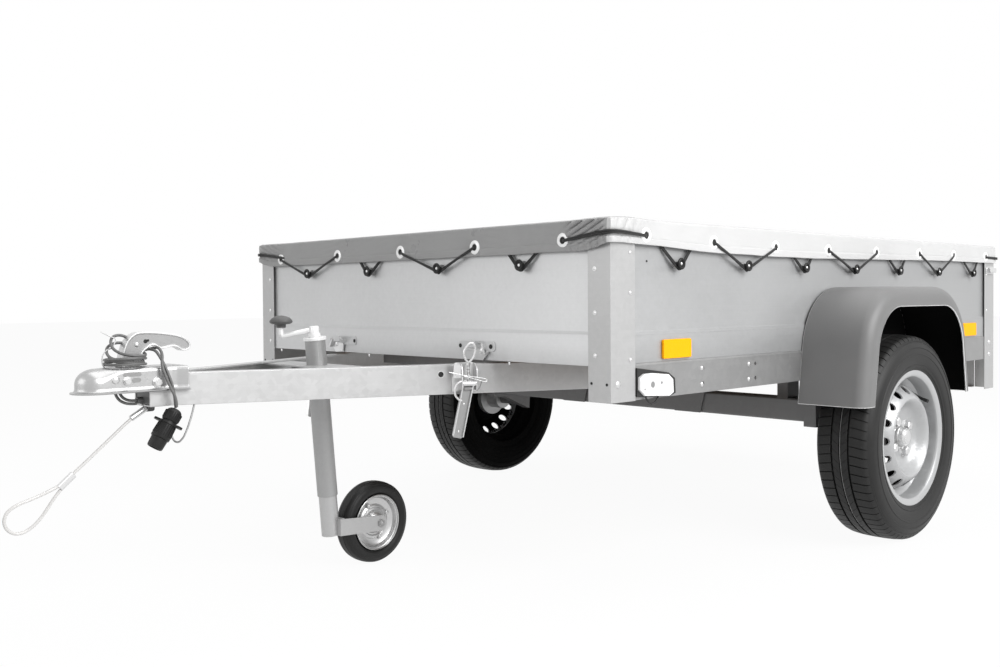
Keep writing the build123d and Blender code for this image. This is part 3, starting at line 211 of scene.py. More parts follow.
def newGroup(name, inputs, outputs):
    group = bpy.data.node_groups.new(name, "ShaderNodeTree")
    for label, kind, value in inputs:
        group.interface.new_socket(label, in_out="INPUT", socket_type=kind).default_value = value
    for label, kind in outputs:
        group.interface.new_socket(label, in_out="OUTPUT", socket_type=kind)
    return group, group.nodes.new("NodeGroupInput"), group.nodes.new("NodeGroupOutput")


def mathNode(tree, operation, first, second=None, clamp=False):
    node = addNode(tree, "ShaderNodeMath", operation=operation, use_clamp=clamp)
    for index, value in enumerate((first, second)):
        if value is None:
            continue
        if isinstance(value, (int, float)):
            node.inputs[index].default_value = value
        else:
            link(tree, value, node.inputs[index])
    return node.outputs[0]


# a value from 0 to 1, spread between low and high
def spread(tree, value, low, high):
    node = addNode(tree, "ShaderNodeMapRange")
    link(tree, value, node.inputs["Value"])
    for label, limit in (("To Min", low), ("To Max", high)):
        if isinstance(limit, (int, float)):
            node.inputs[label].default_value = limit
        else:
            link(tree, limit, node.inputs[label])
    return node.outputs["Result"]


def noise(tree, vector, scale, detail=3.0, roughness=0.5):
    node = addNode(tree, "ShaderNodeTexNoise")
    link(tree, vector, node.inputs["Vector"])
    if isinstance(scale, (int, float)):
        node.inputs["Scale"].default_value = scale
    else:
        link(tree, scale, node.inputs["Scale"])
    node.inputs["Detail"].default_value = detail
    node.inputs["Roughness"].default_value = roughness
    return node.outputs["Fac"]


def stretched(tree, vector, factors):
    node = addNode(tree, "ShaderNodeMapping")
    link(tree, vector, node.inputs["Vector"])
    node.inputs["Scale"].default_value = factors
    return node.outputs["Vector"]


def tinted(tree, base, tone):
    node = addNode(tree, "ShaderNodeMix", data_type="RGBA", blend_type="MULTIPLY")
    node.inputs["Factor"].default_value = 1.0
    link(tree, base, node.inputs["A"])
    link(tree, tone, node.inputs["B"])
    return node.outputs["Result"]


# zinc: crystals, soft clouds, roll marks along the sheet and fine scratches in its relief
def makeZincGroup():
    group, enter, leave = newGroup(
        "zincSurface",
        (
            ("Vector", "NodeSocketVector", (0, 0, 0)),
            ("Base", "NodeSocketColor", (0.7, 0.7, 0.7, 1)),
            ("Crystal Scale", "NodeSocketFloat", 90.0),
            ("Crystal", "NodeSocketFloat", 0.05),
            ("Cloud", "NodeSocketFloat", 0.08),
            ("Roughness", "NodeSocketFloat", 0.4),
        ),
        (("Color", "NodeSocketColor"), ("Roughness", "NodeSocketFloat"), ("Height", "NodeSocketFloat")),
    )
    crystals = addNode(group, "ShaderNodeTexVoronoi", feature="F1")
    link(group, enter.outputs["Vector"], crystals.inputs["Vector"])
    link(group, enter.outputs["Crystal Scale"], crystals.inputs["Scale"])
    grey = addNode(group, "ShaderNodeRGBToBW")
    link(group, crystals.outputs["Color"], grey.inputs["Color"])
    clouds = noise(group, enter.outputs["Vector"], 4.0, 4.0, 0.6)
    rollMarks = noise(group, stretched(group, enter.outputs["Vector"], (1.5, 1.5, 160.0)), 2.0, 2.0)
    scratches = noise(group, stretched(group, enter.outputs["Vector"], (9.0, 9.0, 700.0)), 3.0, 2.0, 0.7)
    crystalTone = mathNode(group, "MULTIPLY", mathNode(group, "SUBTRACT", grey.outputs["Val"], 0.5),
                           enter.outputs["Crystal"])
    cloudTone = mathNode(group, "MULTIPLY", mathNode(group, "SUBTRACT", clouds, 0.5),
                         enter.outputs["Cloud"])
    markTone = mathNode(group, "MULTIPLY", mathNode(group, "SUBTRACT", rollMarks, 0.5), 0.05)
    tone = mathNode(group, "ADD", mathNode(group, "ADD", crystalTone, cloudTone),
                    mathNode(group, "ADD", markTone, 1.0))
    link(group, tinted(group, enter.outputs["Base"], tone), leave.inputs["Color"])
    rough = mathNode(group, "ADD", mathNode(group, "MULTIPLY", clouds, 0.16),
                     mathNode(group, "MULTIPLY", grey.outputs["Val"], 0.07))
    link(group, mathNode(group, "ADD", rough, mathNode(group, "SUBTRACT", enter.outputs["Roughness"], 0.1)),
         leave.inputs["Roughness"])
    relief = mathNode(group, "ADD", mathNode(group, "MULTIPLY", scratches, 0.4),
                      mathNode(group, "MULTIPLY", grey.outputs["Val"], 0.3))
    link(group, mathNode(group, "ADD", relief, clouds), leave.inputs["Height"])
    return group


# moulded plastic and rubber: fine leather grain, paler dust in patches
def makeMouldGroup():
    group, enter, leave = newGroup(
        "mouldedSurface",
        (
            ("Vector", "NodeSocketVector", (0, 0, 0)),
            ("Base", "NodeSocketColor", (0.1, 0.1, 0.1, 1)),
            ("Grain Scale", "NodeSocketFloat", 600.0),
            ("Dust", "NodeSocketFloat", 0.15),
            ("Roughness", "NodeSocketFloat", 0.5),
        ),
        (("Color", "NodeSocketColor"), ("Roughness", "NodeSocketFloat"), ("Height", "NodeSocketFloat")),
    )
    grain = noise(group, enter.outputs["Vector"], enter.outputs["Grain Scale"], 2.0)
    patches = noise(group, enter.outputs["Vector"], 7.0, 5.0, 0.65)
    dust = mathNode(group, "MULTIPLY", mathNode(group, "SUBTRACT", patches, 0.35, clamp=True),
                    enter.outputs["Dust"])
    mix = addNode(group, "ShaderNodeMix", data_type="RGBA")
    link(group, dust, mix.inputs["Factor"])
    link(group, enter.outputs["Base"], mix.inputs["A"])
    mix.inputs["B"].default_value = (0.55, 0.54, 0.52, 1)
    link(group, mix.outputs["Result"], leave.inputs["Color"])
    rough = mathNode(group, "ADD", enter.outputs["Roughness"],
                     mathNode(group, "MULTIPLY", mathNode(group, "SUBTRACT", patches, 0.5), 0.25))
    link(group, rough, leave.inputs["Roughness"])
    link(group, grain, leave.inputs["Height"])
    return group


# coated cloth: cross threads under the coating, long faint ribs and soft soiling
def makeClothGroup():
    group, enter, leave = newGroup(
        "coatedCloth",
        (
            ("Vector", "NodeSocketVector", (0, 0, 0)),
            ("Base", "NodeSocketColor", (0.5, 0.5, 0.5, 1)),
            ("Thread Scale", "NodeSocketFloat", 260.0),
            ("Roughness", "NodeSocketFloat", 0.45),
        ),
        (("Color", "NodeSocketColor"), ("Roughness", "NodeSocketFloat"), ("Height", "NodeSocketFloat")),
    )
    across = addNode(group, "ShaderNodeTexWave", wave_type="BANDS", bands_direction="X")
    along = addNode(group, "ShaderNodeTexWave", wave_type="BANDS", bands_direction="Y")
    upward = addNode(group, "ShaderNodeTexWave", wave_type="BANDS", bands_direction="Z")
    for wave in (across, along, upward):
        link(group, enter.outputs["Vector"], wave.inputs["Vector"])
        link(group, enter.outputs["Thread Scale"], wave.inputs["Scale"])
        wave.inputs["Distortion"].default_value = 0.6
        wave.inputs["Detail"].default_value = 1.0
    threads = mathNode(group, "ADD", mathNode(group, "MULTIPLY", across.outputs["Fac"], along.outputs["Fac"]),
                       upward.outputs["Fac"])
    soil = noise(group, enter.outputs["Vector"], 5.0, 5.0, 0.6)
    tone = mathNode(group, "ADD", mathNode(group, "MULTIPLY", threads, 0.04),
                    spread(group, soil, 0.86, 1.04))
    link(group, tinted(group, enter.outputs["Base"], tone), leave.inputs["Color"])
    link(group, mathNode(group, "ADD", enter.outputs["Roughness"],
                         mathNode(group, "MULTIPLY", mathNode(group, "SUBTRACT", soil, 0.5), 0.2)),
         leave.inputs["Roughness"])
    link(group, threads, leave.inputs["Height"])
    return group


surfaceGroups = {"zinc": makeZincGroup(), "mould": makeMouldGroup(), "cloth": makeClothGroup()}


# a Principled surface fed by one of the groups; look holds the group's own values
def makeMaterial(name, look):
    material = bpy.data.materials.new(name)
    material.use_nodes = True
    tree = material.node_tree
    shader = tree.nodes["Principled BSDF"]
    coordinates = addNode(tree, "ShaderNodeTexCoord")
    surface = addNode(tree, "ShaderNodeGroup", node_tree=surfaceGroups[look["surface"]])
    link(tree, coordinates.outputs["Object"], surface.inputs["Vector"])
    for label, value in look["values"].items():
        surface.inputs[label].default_value = value
    link(tree, surface.outputs["Color"], shader.inputs["Base Color"])
    link(tree, surface.outputs["Roughness"], shader.inputs["Roughness"])
    bump = addNode(tree, "ShaderNodeBump")
    bump.inputs["Strength"].default_value = look["bump"]
    bump.inputs["Distance"].default_value = look["depth"]
    link(tree, surface.outputs["Height"], bump.inputs["Height"])
    link(tree, bump.outputs["Normal"], shader.inputs["Normal"])
    for label, value in look["shader"].items():
        shader.inputs[label].default_value = value
    material.diffuse_color = look["values"]["Base"]
    return material


def grey(level, warmth=0.0):
    return (level + warmth, level, level - warmth, 1.0)


# zinc: grey, warmth, crystals' scale and strength, clouds, roughness, metallic, bump
zincLooks = {
    "panelZinc": (0.57, -0.003, 120.0, 0.05, 0.10, 0.40, 0.55, 0.10),
    # the side walls' zinc is a darker copy of the front wall's: painted shade
    "sideZinc": (0.38, -0.003, 120.0, 0.05, 0.10, 0.42, 0.55, 0.10),
    "forkZinc": (0.44, 0.0, 240.0, 0.05, 0.18, 0.36, 0.60, 0.05),
    "sectionZinc": (0.31, 0.0, 70.0, 0.12, 0.16, 0.42, 0.60, 0.20),
    "postZinc": (0.46, 0.0, 110.0, 0.06, 0.08, 0.40, 0.55, 0.12),
    "legZinc": (0.523, 0.0, 90.0, 0.10, 0.12, 0.38, 0.60, 0.15),
    "axleZinc": (0.16, 0.0, 60.0, 0.12, 0.25, 0.50, 0.50, 0.25),
    "brightZinc": (0.66, 0.0, 300.0, 0.03, 0.10, 0.34, 0.70, 0.02),
    "couplerZinc": (0.45, 0.0, 300.0, 0.03, 0.08, 0.30, 0.75, 0.02),
    # handleSide: a darker copy of the bright zinc for the handle's sunk sides and the latch levers' webs,
    # painted shade
    "handleSide": (0.34, 0.0, 500.0, 0.04, 0.08, 0.45, 0.50, 0.04),
    "tubeZinc": (0.34, 0.0, 200.0, 0.05, 0.25, 0.42, 0.60, 0.05),
    "boltMetal": (0.68, 0.0, 400.0, 0.06, 0.10, 0.28, 0.90, 0.15),
    "wheelSilver": (0.41, -0.004, 900.0, 0.05, 0.04, 0.34, 0.35, 0.05),
    "jockeyRimZinc": (0.55, 0.0, 260.0, 0.05, 0.12, 0.30, 0.80, 0.10),
    "hubMetal": (0.42, 0.0, 300.0, 0.10, 0.30, 0.40, 0.70, 0.30),
    # eyeletMetal: the eyelets' pale metal, and on the crank and its collar a near-white finish that is a
    # painted highlight
    "eyeletMetal": (0.86, 0.0, 300.0, 0.02, 0.03, 0.32, 0.30, 0.02),
}
# moulded: colour, grain's scale, dust, roughness, bump, bump's depth in millimetres
mouldLooks = {
    "tieNylon": (grey(0.62), 600.0, 0.05, 0.40, 0.05, 0.2),
    "lampInside": (grey(0.22), 700.0, 0.30, 0.40, 0.30, 0.4),
    "fenderPlastic": (grey(0.145), 900.0, 0.10, 0.48, 0.22, 0.3),
    # fenderEdgeHighlight: pale grey on the fenders' softened edges, a painted highlight
    "fenderEdgeHighlight": (grey(0.70), 900.0, 0.05, 0.40, 0.10, 0.3),
    "blackPlastic": (grey(0.007), 900.0, 0.06, 0.42, 0.20, 0.3),
    "tyreRubber": (grey(0.008), 700.0, 0.05, 0.50, 0.25, 0.3),
    "lampRubber": (grey(0.008), 500.0, 0.10, 0.60, 0.25, 0.3),
    "cableSheath": (grey(0.10), 900.0, 0.30, 0.40, 0.15, 0.2),
    "greyPlastic": (grey(0.30), 900.0, 0.05, 0.50, 0.10, 0.3),
    "amberPlastic": ((1.0, 0.42, 0.0, 1.0), 260.0, 0.0, 0.50, 0.50, 1.2),
    "redPlastic": ((0.5, 0.02, 0.015, 1.0), 260.0, 0.0, 0.25, 0.50, 1.2),
    "plywood": ((0.20, 0.12, 0.07, 1.0), 220.0, 0.25, 0.60, 0.40, 0.6),
    "knobPlastic": (grey(0.055), 900.0, 0.15, 0.45, 0.20, 0.3),
    # slotGrey: dark grey for patches that stand for slots and gaps, painted shade
    "slotGrey": (grey(0.26), 300.0, 0.20, 0.50, 0.10, 0.4),
    # insideBlack: near-black for the wheels' inboard faces and inside the fenders, painted shade
    "insideBlack": (grey(0.003), 600.0, 0.0, 0.90, 0.10, 0.4),
    # darkHole: near-black discs that stand for holes, painted shade in place of an opening
    "darkHole": (grey(0.008), 300.0, 0.05, 0.80, 0.10, 0.4),
    "ropeCoating": (grey(0.60, 0.01), 500.0, 0.05, 0.30, 0.20, 0.4),
}
# cloth: grey, threads' scale, roughness, bump
clothLooks = {
    "elasticCord": (0.018, 500.0, 0.60, 0.60),
    "tarpCloth": (0.56, 230.0, 0.30, 0.25),
    # shadedCoverFront: a darker copy of the cloth for the front skirt, painted shade
    "shadedCoverFront": (0.305, 230.0, 0.30, 0.25),
}
fineZinc = ("forkZinc", "brightZinc", "couplerZinc", "handleSide", "tubeZinc")
bumpDepths = {"usual": 0.0004, "fineZinc": 0.0002, "cloth": 0.0006}
sheens = {
    "wheelSilver": {"Coat Weight": 0.35, "Coat Roughness": 0.12},
    "blackPlastic": {"Specular IOR Level": 0.25},
    "tyreRubber": {"Specular IOR Level": 0.3},
    "amberPlastic": {"Specular IOR Level": 0.15},
    "redPlastic": {"Coat Weight": 0.8, "Coat Roughness": 0.08},
    "insideBlack": {"Specular IOR Level": 0.1},
    "ropeCoating": {"Coat Weight": 0.4, "Coat Roughness": 0.15},
}


def gatherLooks():
    looks = {}
    for name, (level, warmth, scale, crystal, cloud, rough, metallic, bump) in zincLooks.items():
        depth = bumpDepths["fineZinc" if name in fineZinc else "usual"]
        looks[name] = {"surface": "zinc", "bump": bump, "depth": depth, "shader": {"Metallic": metallic},
                       "values": {"Base": grey(level, warmth), "Crystal Scale": scale, "Crystal": crystal,
                                  "Cloud": cloud, "Roughness": rough}}
    for name, (colour, scale, dust, rough, bump, depth) in mouldLooks.items():
        looks[name] = {"surface": "mould", "bump": bump, "depth": depth / 1000, "shader": {},
                       "values": {"Base": colour, "Grain Scale": scale, "Dust": dust, "Roughness": rough}}
    for name, (level, scale, rough, bump) in clothLooks.items():
        looks[name] = {"surface": "cloth", "bump": bump, "depth": bumpDepths["cloth"], "shader": {},
                       "values": {"Base": grey(level), "Thread Scale": scale, "Roughness": rough}}
    for name, sheen in sheens.items():
        looks[name]["shader"].update(sheen)
    return looks


materials = {name: makeMaterial(name, look) for name, look in gatherLooks().items()}


def makeLens():
    material = bpy.data.materials.new("clearLens")
    material.use_nodes = True
    tree = material.node_tree
    shader = tree.nodes["Principled BSDF"]
    coordinates = addNode(tree, "ShaderNodeTexCoord")
    ribs = addNode(tree, "ShaderNodeTexWave", wave_type="BANDS", bands_direction="Y")
    ribs.inputs["Scale"].default_value = 55.0
    link(tree, coordinates.outputs["Object"], ribs.inputs["Vector"])
    bump = addNode(tree, "ShaderNodeBump")
    bump.inputs["Strength"].default_value = 0.5
    bump.inputs["Distance"].default_value = 0.001
    link(tree, ribs.outputs["Fac"], bump.inputs["Height"])
    link(tree, bump.outputs["Normal"], shader.inputs["Normal"])
    shader.inputs["Base Color"].default_value = grey(0.86)
    shader.inputs["Roughness"].default_value = 0.12
    shader.inputs["Coat Weight"].default_value = 0.8
    return material


materials["clearLens"] = makeLens()
print("materials made:", len(materials))
for strand in (electricLead, leadStrand):
    strand.data.materials.append(materials["cableSheath"])
safetyRope.data.materials.append(materials["ropeCoating"])


# a bmesh made into a piece: its finish, its body and the nodes it stands for
def finishPiece(name, bm, finish, body, smooth=32.0, stands=()):
    mesh = bpy.data.meshes.new(name)
    bm.to_mesh(mesh)
    bm.free()
    mesh.shade_smooth()
    mesh.set_sharp_from_angle(angle=math.radians(smooth))
    piece = bpy.data.objects.new(name, mesh)
    scene.collection.objects.link(piece)
    for label in [finish] if isinstance(finish, str) else finish:
        mesh.materials.append(materials[label])
    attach(piece, body)
    if stands:
        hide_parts(*stands)
    return piece


def softenEdges(piece, width, segments=2, angle=35.0, edgeMaterial=-1):
    bevel = piece.modifiers.new("softEdges", "BEVEL")
    bevel.width = width
    bevel.segments = segments
    bevel.limit_method = "ANGLE"
    bevel.angle_limit = math.radians(angle)
    bevel.harden_normals = True
    bevel.material = edgeMaterial


# a merged copy of a node's mesh, with its edges softened, that stands for the node
def dressNode(node, finish, slotName, edge, edgeFinish=None):
    source = frame["nodes"][node]
    bm = bmesh.new()
    bm.from_mesh(source.data)
    bmesh.ops.remove_doubles(bm, verts=bm.verts, dist=0.00002)
    bmesh.ops.dissolve_limit(bm, angle_limit=math.radians(1.0), verts=bm.verts, edges=bm.edges)
    for face in bm.faces:
        face.material_index = 0
    words = node.split("_")
    name = words[0] + "".join(word.title() for word in words[1:])
    finishes = [finish] if edgeFinish is None else [finish, edgeFinish]
    piece = finishPiece(name, bm, finishes, source["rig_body"], stands=(node,))
    softenEdges(piece, edge / 1000, edgeMaterial=-1 if edgeFinish is None else 1)
    return piece


# turns a shape made along +Z so that it stands on a surface, its base at the spot
def standing(spot, direction):
    return Matrix.Translation(spot) @ Vector(direction).to_track_quat("Z", "Y").to_matrix().to_4x4()


def addDisc(bm, spot, direction, radius, depth, segments=24, top=None, angle=0.0):
    matrix = (standing(spot, direction) @ Matrix.Rotation(angle, 4, "Z")
              @ Matrix.Translation((0, 0, depth / 2)))
    return bmesh.ops.create_cone(bm, cap_ends=True, segments=segments, radius1=radius,
                                 radius2=radius if top is None else top, depth=depth, matrix=matrix)


def addBolt(bm, spot, direction, radius, turn=0.3):
    direction = Vector(direction).normalized()
    spot = Vector(spot)
    addDisc(bm, spot, direction, radius, radius * 0.16)
    addDisc(bm, spot + direction * radius * 0.16, direction, radius * 0.84, radius * 0.5, 6, angle=turn)
    addDisc(bm, spot + direction * radius * 0.66, direction, radius * 0.84, radius * 0.08, 6,
            top=radius * 0.7, angle=turn)


def addDome(bm, spot, direction, radius, rise=0.5):
    matrix = standing(spot, direction) @ Matrix.Diagonal((1, 1, rise, 1))
    bmesh.ops.create_uvsphere(bm, u_segments=18, v_segments=10, radius=radius, matrix=matrix)


def metres(rows):
    return [tuple(value / 1000 for value in row) for row in rows]


def linkedVerts(start):
    found, stack = set(start), list(start)
    while stack:
        for edge in stack.pop().link_edges:
            for other in edge.verts:
                if other not in found:
                    found.add(other)
                    stack.append(other)
    return found


# a place round the Z axis
def around(radius, angle, along):
    return Vector((radius * math.cos(angle), radius * math.sin(angle), along))


# closes two like rings of corners into a solid, and gives its far end
def joinRings(bm, low, high):
    faces = [bm.faces.new(low), bm.faces.new(high)]
    for k in range(len(low)):
        n = (k + 1) % len(low)
        faces.append(bm.faces.new((low[k], low[n], high[n], high[k])))
    bmesh.ops.recalc_face_normals(bm, faces=faces)
    return faces[1]


def joinGrid(bm, grid):
    faces = []
    for row, after in zip(grid, grid[1:]):
        for k in range(len(row) - 1):
            faces.append(bm.faces.new((row[k], row[k + 1], after[k + 1], after[k])))
    return faces


def thicken(piece, name, thickness, offset):
    modifier = piece.modifiers.new(name, "SOLIDIFY")
    modifier.thickness = thickness
    modifier.offset = offset


# a section of (along, radius) in millimetres from the rim to the middle, and its mirror image
def bothSides(rows):
    half = metres(rows)
    return half + [(-along, radius) for along, radius in half[-2::-1]]


# a profile of (distance along the axis, radius) turned full round; closed joins its ends
def spinProfile(bm, profile, matrix, steps=48, closed=False):
    verts = [bm.verts.new((radius, 0.0, along)) for along, radius in profile]
    pairs = list(zip(verts, verts[1:] + verts[:1])) if closed else list(zip(verts, verts[1:]))
    edges = [bm.edges.new(pair) for pair in pairs]
    bmesh.ops.spin(bm, geom=verts + edges, cent=(0, 0, 0), axis=(0, 0, 1), angle=math.tau, steps=steps,
                   use_merge=True, use_duplicate=False)
    made = list(linkedVerts(verts))
    bmesh.ops.remove_doubles(bm, verts=made, dist=0.000005)
    made = [vert for vert in made if vert.is_valid]
    faces = list({face for vert in made for face in vert.link_faces})
    bmesh.ops.recalc_face_normals(bm, faces=faces)
    bmesh.ops.transform(bm, matrix=matrix, verts=made)


nodeDress = (
    # node, finish, slot, width of its softened edges in millimetres
    ("front_wall", "panelZinc", "galvanised_sheet", 0.6),
    # the side walls take the darker copy of the wall zinc, painted shade
    ("side_wall_left", "sideZinc", "galvanised_sheet", 0.6),
    ("side_wall_right", "sideZinc", "galvanised_sheet", 0.6),
    ("front_posts", "postZinc", "galvanised_sheet", 0.6),
    ("rear_posts", "postZinc", "galvanised_sheet", 0.6),
    ("tailgate", "panelZinc", "galvanised_sheet", 0.6),
    ("rear_lamp_bar", "postZinc", "galvanised_sheet", 0.6),
    ("chassis_rails", "sectionZinc", "galvanised_section", 0.7),
    ("crossmembers", "axleZinc", "galvanised_section", 0.7),
    ("rear_sill", "sectionZinc", "galvanised_section", 0.7),
    ("drawbar_leg_left", "legZinc", "galvanised_section", 1.2),
    ("drawbar_leg_right", "legZinc", "galvanised_section", 1.2),
    ("cross_channel", "legZinc", "galvanised_section", 1.0),
    ("nose_block", "axleZinc", "galvanised_section", 0.8),
    ("axle", "axleZinc", "galvanised_section", 1.2),
    ("tip_lugs", "sectionZinc", "galvanised_section", 0.8),
    ("jockey_tube", "tubeZinc", "zinc_fittings", 0.8),
    ("jockey_spindle", "brightZinc", "zinc_fittings", 0.6),
    ("jockey_fork", "forkZinc", "zinc_fittings", 0.9),
    ("hook_plates", "panelZinc", "zinc_fittings", 0.6),
    ("rope_fittings", "brightZinc", "zinc_fittings", 0.5),
    ("plug_hook", "tubeZinc", "zinc_fittings", 0.2),
    ("rim_left", "wheelSilver", "silver_paint", 0.9),
    ("rim_right", "wheelSilver", "silver_paint", 0.9),
    ("hub_left", "hubMetal", "hub_metal", 0.8),
    ("hub_right", "hubMetal", "hub_metal", 0.8),
    ("rear_latches", "brightZinc", "black_plastic", 0.8),
    ("rear_lamps", "redPlastic", "rear_lamp", 1.0),
    ("reflectors", "amberPlastic", "amber", 1.5),
    ("floor", "plywood", "plywood", 0.5),
    ("rest_pads", "blackPlastic", "galvanised_section", 0.8),
)
dressed = {row[0]: dressNode(*row) for row in nodeDress}
# the fenders' softened edges get the pale finish, a painted highlight
dressed["fenders"] = dressNode("fenders", "fenderPlastic", "fender_plastic", 1.6, "fenderEdgeHighlight")
print("nodes dressed:", len(dressed))


# road tyres: a turned carcass, with the tread's blocks set on it; sections are
# (outwards from the wheel's centre plane, radius), in millimetres
roadTyre = {
    "carcass": ((60.0, 165.6), (64.0, 170.0), (67.5, 177.0), (70.0, 183.0), (71.2, 186.0), (72.6, 186.6),
                (73.6, 190.0), (74.4, 192.6), (73.4, 193.6), (74.5, 195.4), (76.2, 204.0), (77.1, 214.0),
                (77.4, 220.6), (78.4, 221.6), (78.4, 223.6), (77.2, 224.8), (76.8, 234.0), (75.6, 238.4),
                (77.0, 239.8), (76.6, 241.8), (74.6, 246.0), (72.0, 251.5), (69.6, 254.3), (70.4, 255.8),
                (69.2, 257.2), (66.0, 260.5), (60.0, 263.8), (46.0, 266.0), (24.0, 267.0),
                (3.2, 267.6), (1.2, 267.6), (0.0, 269.2)),
    "shoulder": ((24.8, 266.0), (24.8, 272.4), (25.6, 273.1), (40.0, 272.2), (55.0, 270.2), (60.5, 268.3),
                 (64.6, 264.6), (67.4, 259.8), (67.0, 257.5), (58.0, 262.0)),
    "rib": ((2.4, 266.0), (2.4, 272.9), (3.0, 273.5), (19.2, 273.3), (20.0, 272.6), (20.0, 266.0)),
    "line": ((-0.6, 268.5), (-0.6, 271.2), (0.6, 271.2), (0.6, 268.5)),  # pale, round the middle
    "roundSteps": 96,
    "steps": 72,  # blocks round the tread
    "shoulderGap": 0.55,  # degrees between two blocks
    "ribGap": 0.22,
    "shoulderTwist": 1.6,  # degrees that a block trails over its width
    "ribTwist": -3.4,
}


# the tread's blocks all round, from one section turned through a block's length
def addTread(bm, section, steps, gap, twist, mirrored):
    pitch = 360.0 / steps
    side = -1.0 if mirrored else 1.0
    verts = [bm.verts.new((side * along / 1000, 0.0, radius / 1000)) for along, radius in section]
    start = bm.faces.new(verts)
    bmesh.ops.spin(bm, geom=[start], cent=(0, 0, 0), axis=(1, 0, 0), steps=2,
                   angle=math.radians(pitch - gap), use_duplicate=False)
    block = linkedVerts(start.verts)
    widths = [abs(vert.co.x) for vert in block]
    low, reach = min(widths), max(widths) - min(widths)
    for vert in block:
        share = (abs(vert.co.x) - low) / reach
        vert.co = Matrix.Rotation(math.radians(twist * share * share ** 0.3), 4, "X") @ vert.co
    faces = list({face for vert in block for face in vert.link_faces})
    bmesh.ops.recalc_face_normals(bm, faces=faces)
    edges = list({edge for vert in block for edge in vert.link_edges})
    bmesh.ops.spin(bm, geom=list(block) + edges + faces, cent=(0, 0, 0), axis=(1, 0, 0),
                   steps=steps - 1, angle=math.tau * (steps - 1) / steps, use_duplicate=True)


def makeRoadTyre(name, side, body, node):
    look = roadTyre
    upright = Matrix.Rotation(math.radians(90), 4, "Y")
    bm = bmesh.new()
    spinProfile(bm, bothSides(look["carcass"]), upright, steps=look["roundSteps"], closed=True)
    for mirrored in (False, True):
        addTread(bm, look["shoulder"], look["steps"], look["shoulderGap"], look["shoulderTwist"], mirrored)
        addTread(bm, look["rib"], look["steps"], look["ribGap"], look["ribTwist"], mirrored)
    centre = (side * trailer["track"], trailer["axleBack"], trailer["wheelRadius"])
    bmesh.ops.transform(bm, matrix=Matrix.Translation(centre), verts=bm.verts)
    line = bmesh.new()
    spinProfile(line, metres(look["line"]), Matrix.Translation(centre) @ upright, steps=look["roundSteps"],
                closed=True)
    finishPiece(name.replace("Tyre", "TyreLine"), line, "greyPlastic", body, smooth=60.0)
    return finishPiece(name, bm, "tyreRubber", body, smooth=38.0, stands=(node,))


# the wheels' inner sides are painted dark: painted shade on the rims' inboard faces and barrel and on the
# tyres' inboard rubber
def paintShadeInside(piece, side, inner, reach):
    piece.data.materials.append(materials["insideBlack"])
    index = len(piece.data.materials) - 1
    for polygon in piece.data.polygons:
        out = side * polygon.center.x - trailer["track"]
        level = math.hypot(polygon.center.y - trailer["axleBack"], polygon.center.z - trailer["wheelRadius"])
        facing = side * polygon.normal.x
        if (out < inner and level < reach) or (facing < -0.3 and out < 0.062 and level < 0.160):
            polygon.material_index = index


for side, label in ((1, "left"), (-1, "right")):
    tyre = makeRoadTyre("roadTyre" + label.title(), side, "wheel_" + label, "tyre_" + label)
    paintShadeInside(tyre, side, -0.020, 0.2615)
    paintShadeInside(dressed["rim_" + label], side, 0.0, 0.178)

# wheel bolts, valve and the hub's pressed cap
wheelTrim = {
    "boltRing": 0.049,
    "boltRadius": 0.0125,
    "boltCount": 4,
    "boltSeat": 0.026,
    "valveRadius": 0.133,
    "valveAngle": 52.0,
    "valveSeat": 0.033,
    # along the valve, radius, length, radius at its end
    "valve": ((0.0, 0.0065, 0.014, 0.0042), (0.014, 0.0038, 0.020, None), (0.032, 0.0047, 0.013, None)),
    "cap": ((0.0545, 0.0), (0.0545, 0.008), (0.0538, 0.0145), (0.0518, 0.0185), (0.0485, 0.0205),
            (0.0482, 0.0225), (0.045, 0.0242), (0.028, 0.0252), (0.026, 0.0275), (0.0258, 0.0)),
}


def makeWheelTrim(side, body, label):
    look = wheelTrim
    centre = Vector((side * trailer["track"], trailer["axleBack"], trailer["wheelRadius"]))
    outward = Vector((side, 0, 0))

    # a place on the wheel: out from its middle plane, radius, angle from straight back
    def onWheel(out, radius, angle):
        return centre + Vector((side * out, radius * math.cos(angle), radius * math.sin(angle)))

    bm = bmesh.new()
    for index in range(look["boltCount"]):
        angle = math.tau * (index + 0.35) / look["boltCount"]
        spot = onWheel(look["boltSeat"], look["boltRing"], angle)
        addDisc(bm, spot - outward * 0.001, outward, 0.0165, 0.004, top=0.0145)
        addDisc(bm, spot + outward * 0.003, outward, look["boltRadius"], 0.011, 6, angle=angle)
        addDisc(bm, spot + outward * 0.014, outward, look["boltRadius"], 0.002, 6, top=0.0095, angle=angle)
    finishPiece("wheelBolts" + label, bm, "boltMetal", body)
    bm = bmesh.new()
    spinProfile(bm, look["cap"], standing(centre, outward) @ Matrix.Translation((0, 0, 0.001)), steps=40)
    finishPiece("hubCap" + label, bm, "boltMetal", body, smooth=30.0)
    bm = bmesh.new()
    angle = math.radians(look["valveAngle"])
    spot = onWheel(look["valveSeat"], look["valveRadius"], angle)
    lean = Vector((side * 0.9, -0.35 * math.cos(angle), -0.35 * math.sin(angle)))
    for along, radius, length, top in look["valve"]:
        addDisc(bm, spot + lean.normalized() * along, lean, radius, length, top=top)
    finishPiece("valve" + label, bm, "tyreRubber", body)


makeWheelTrim(1, "wheel_left", "Left")
makeWheelTrim(-1, "wheel_right", "Right")

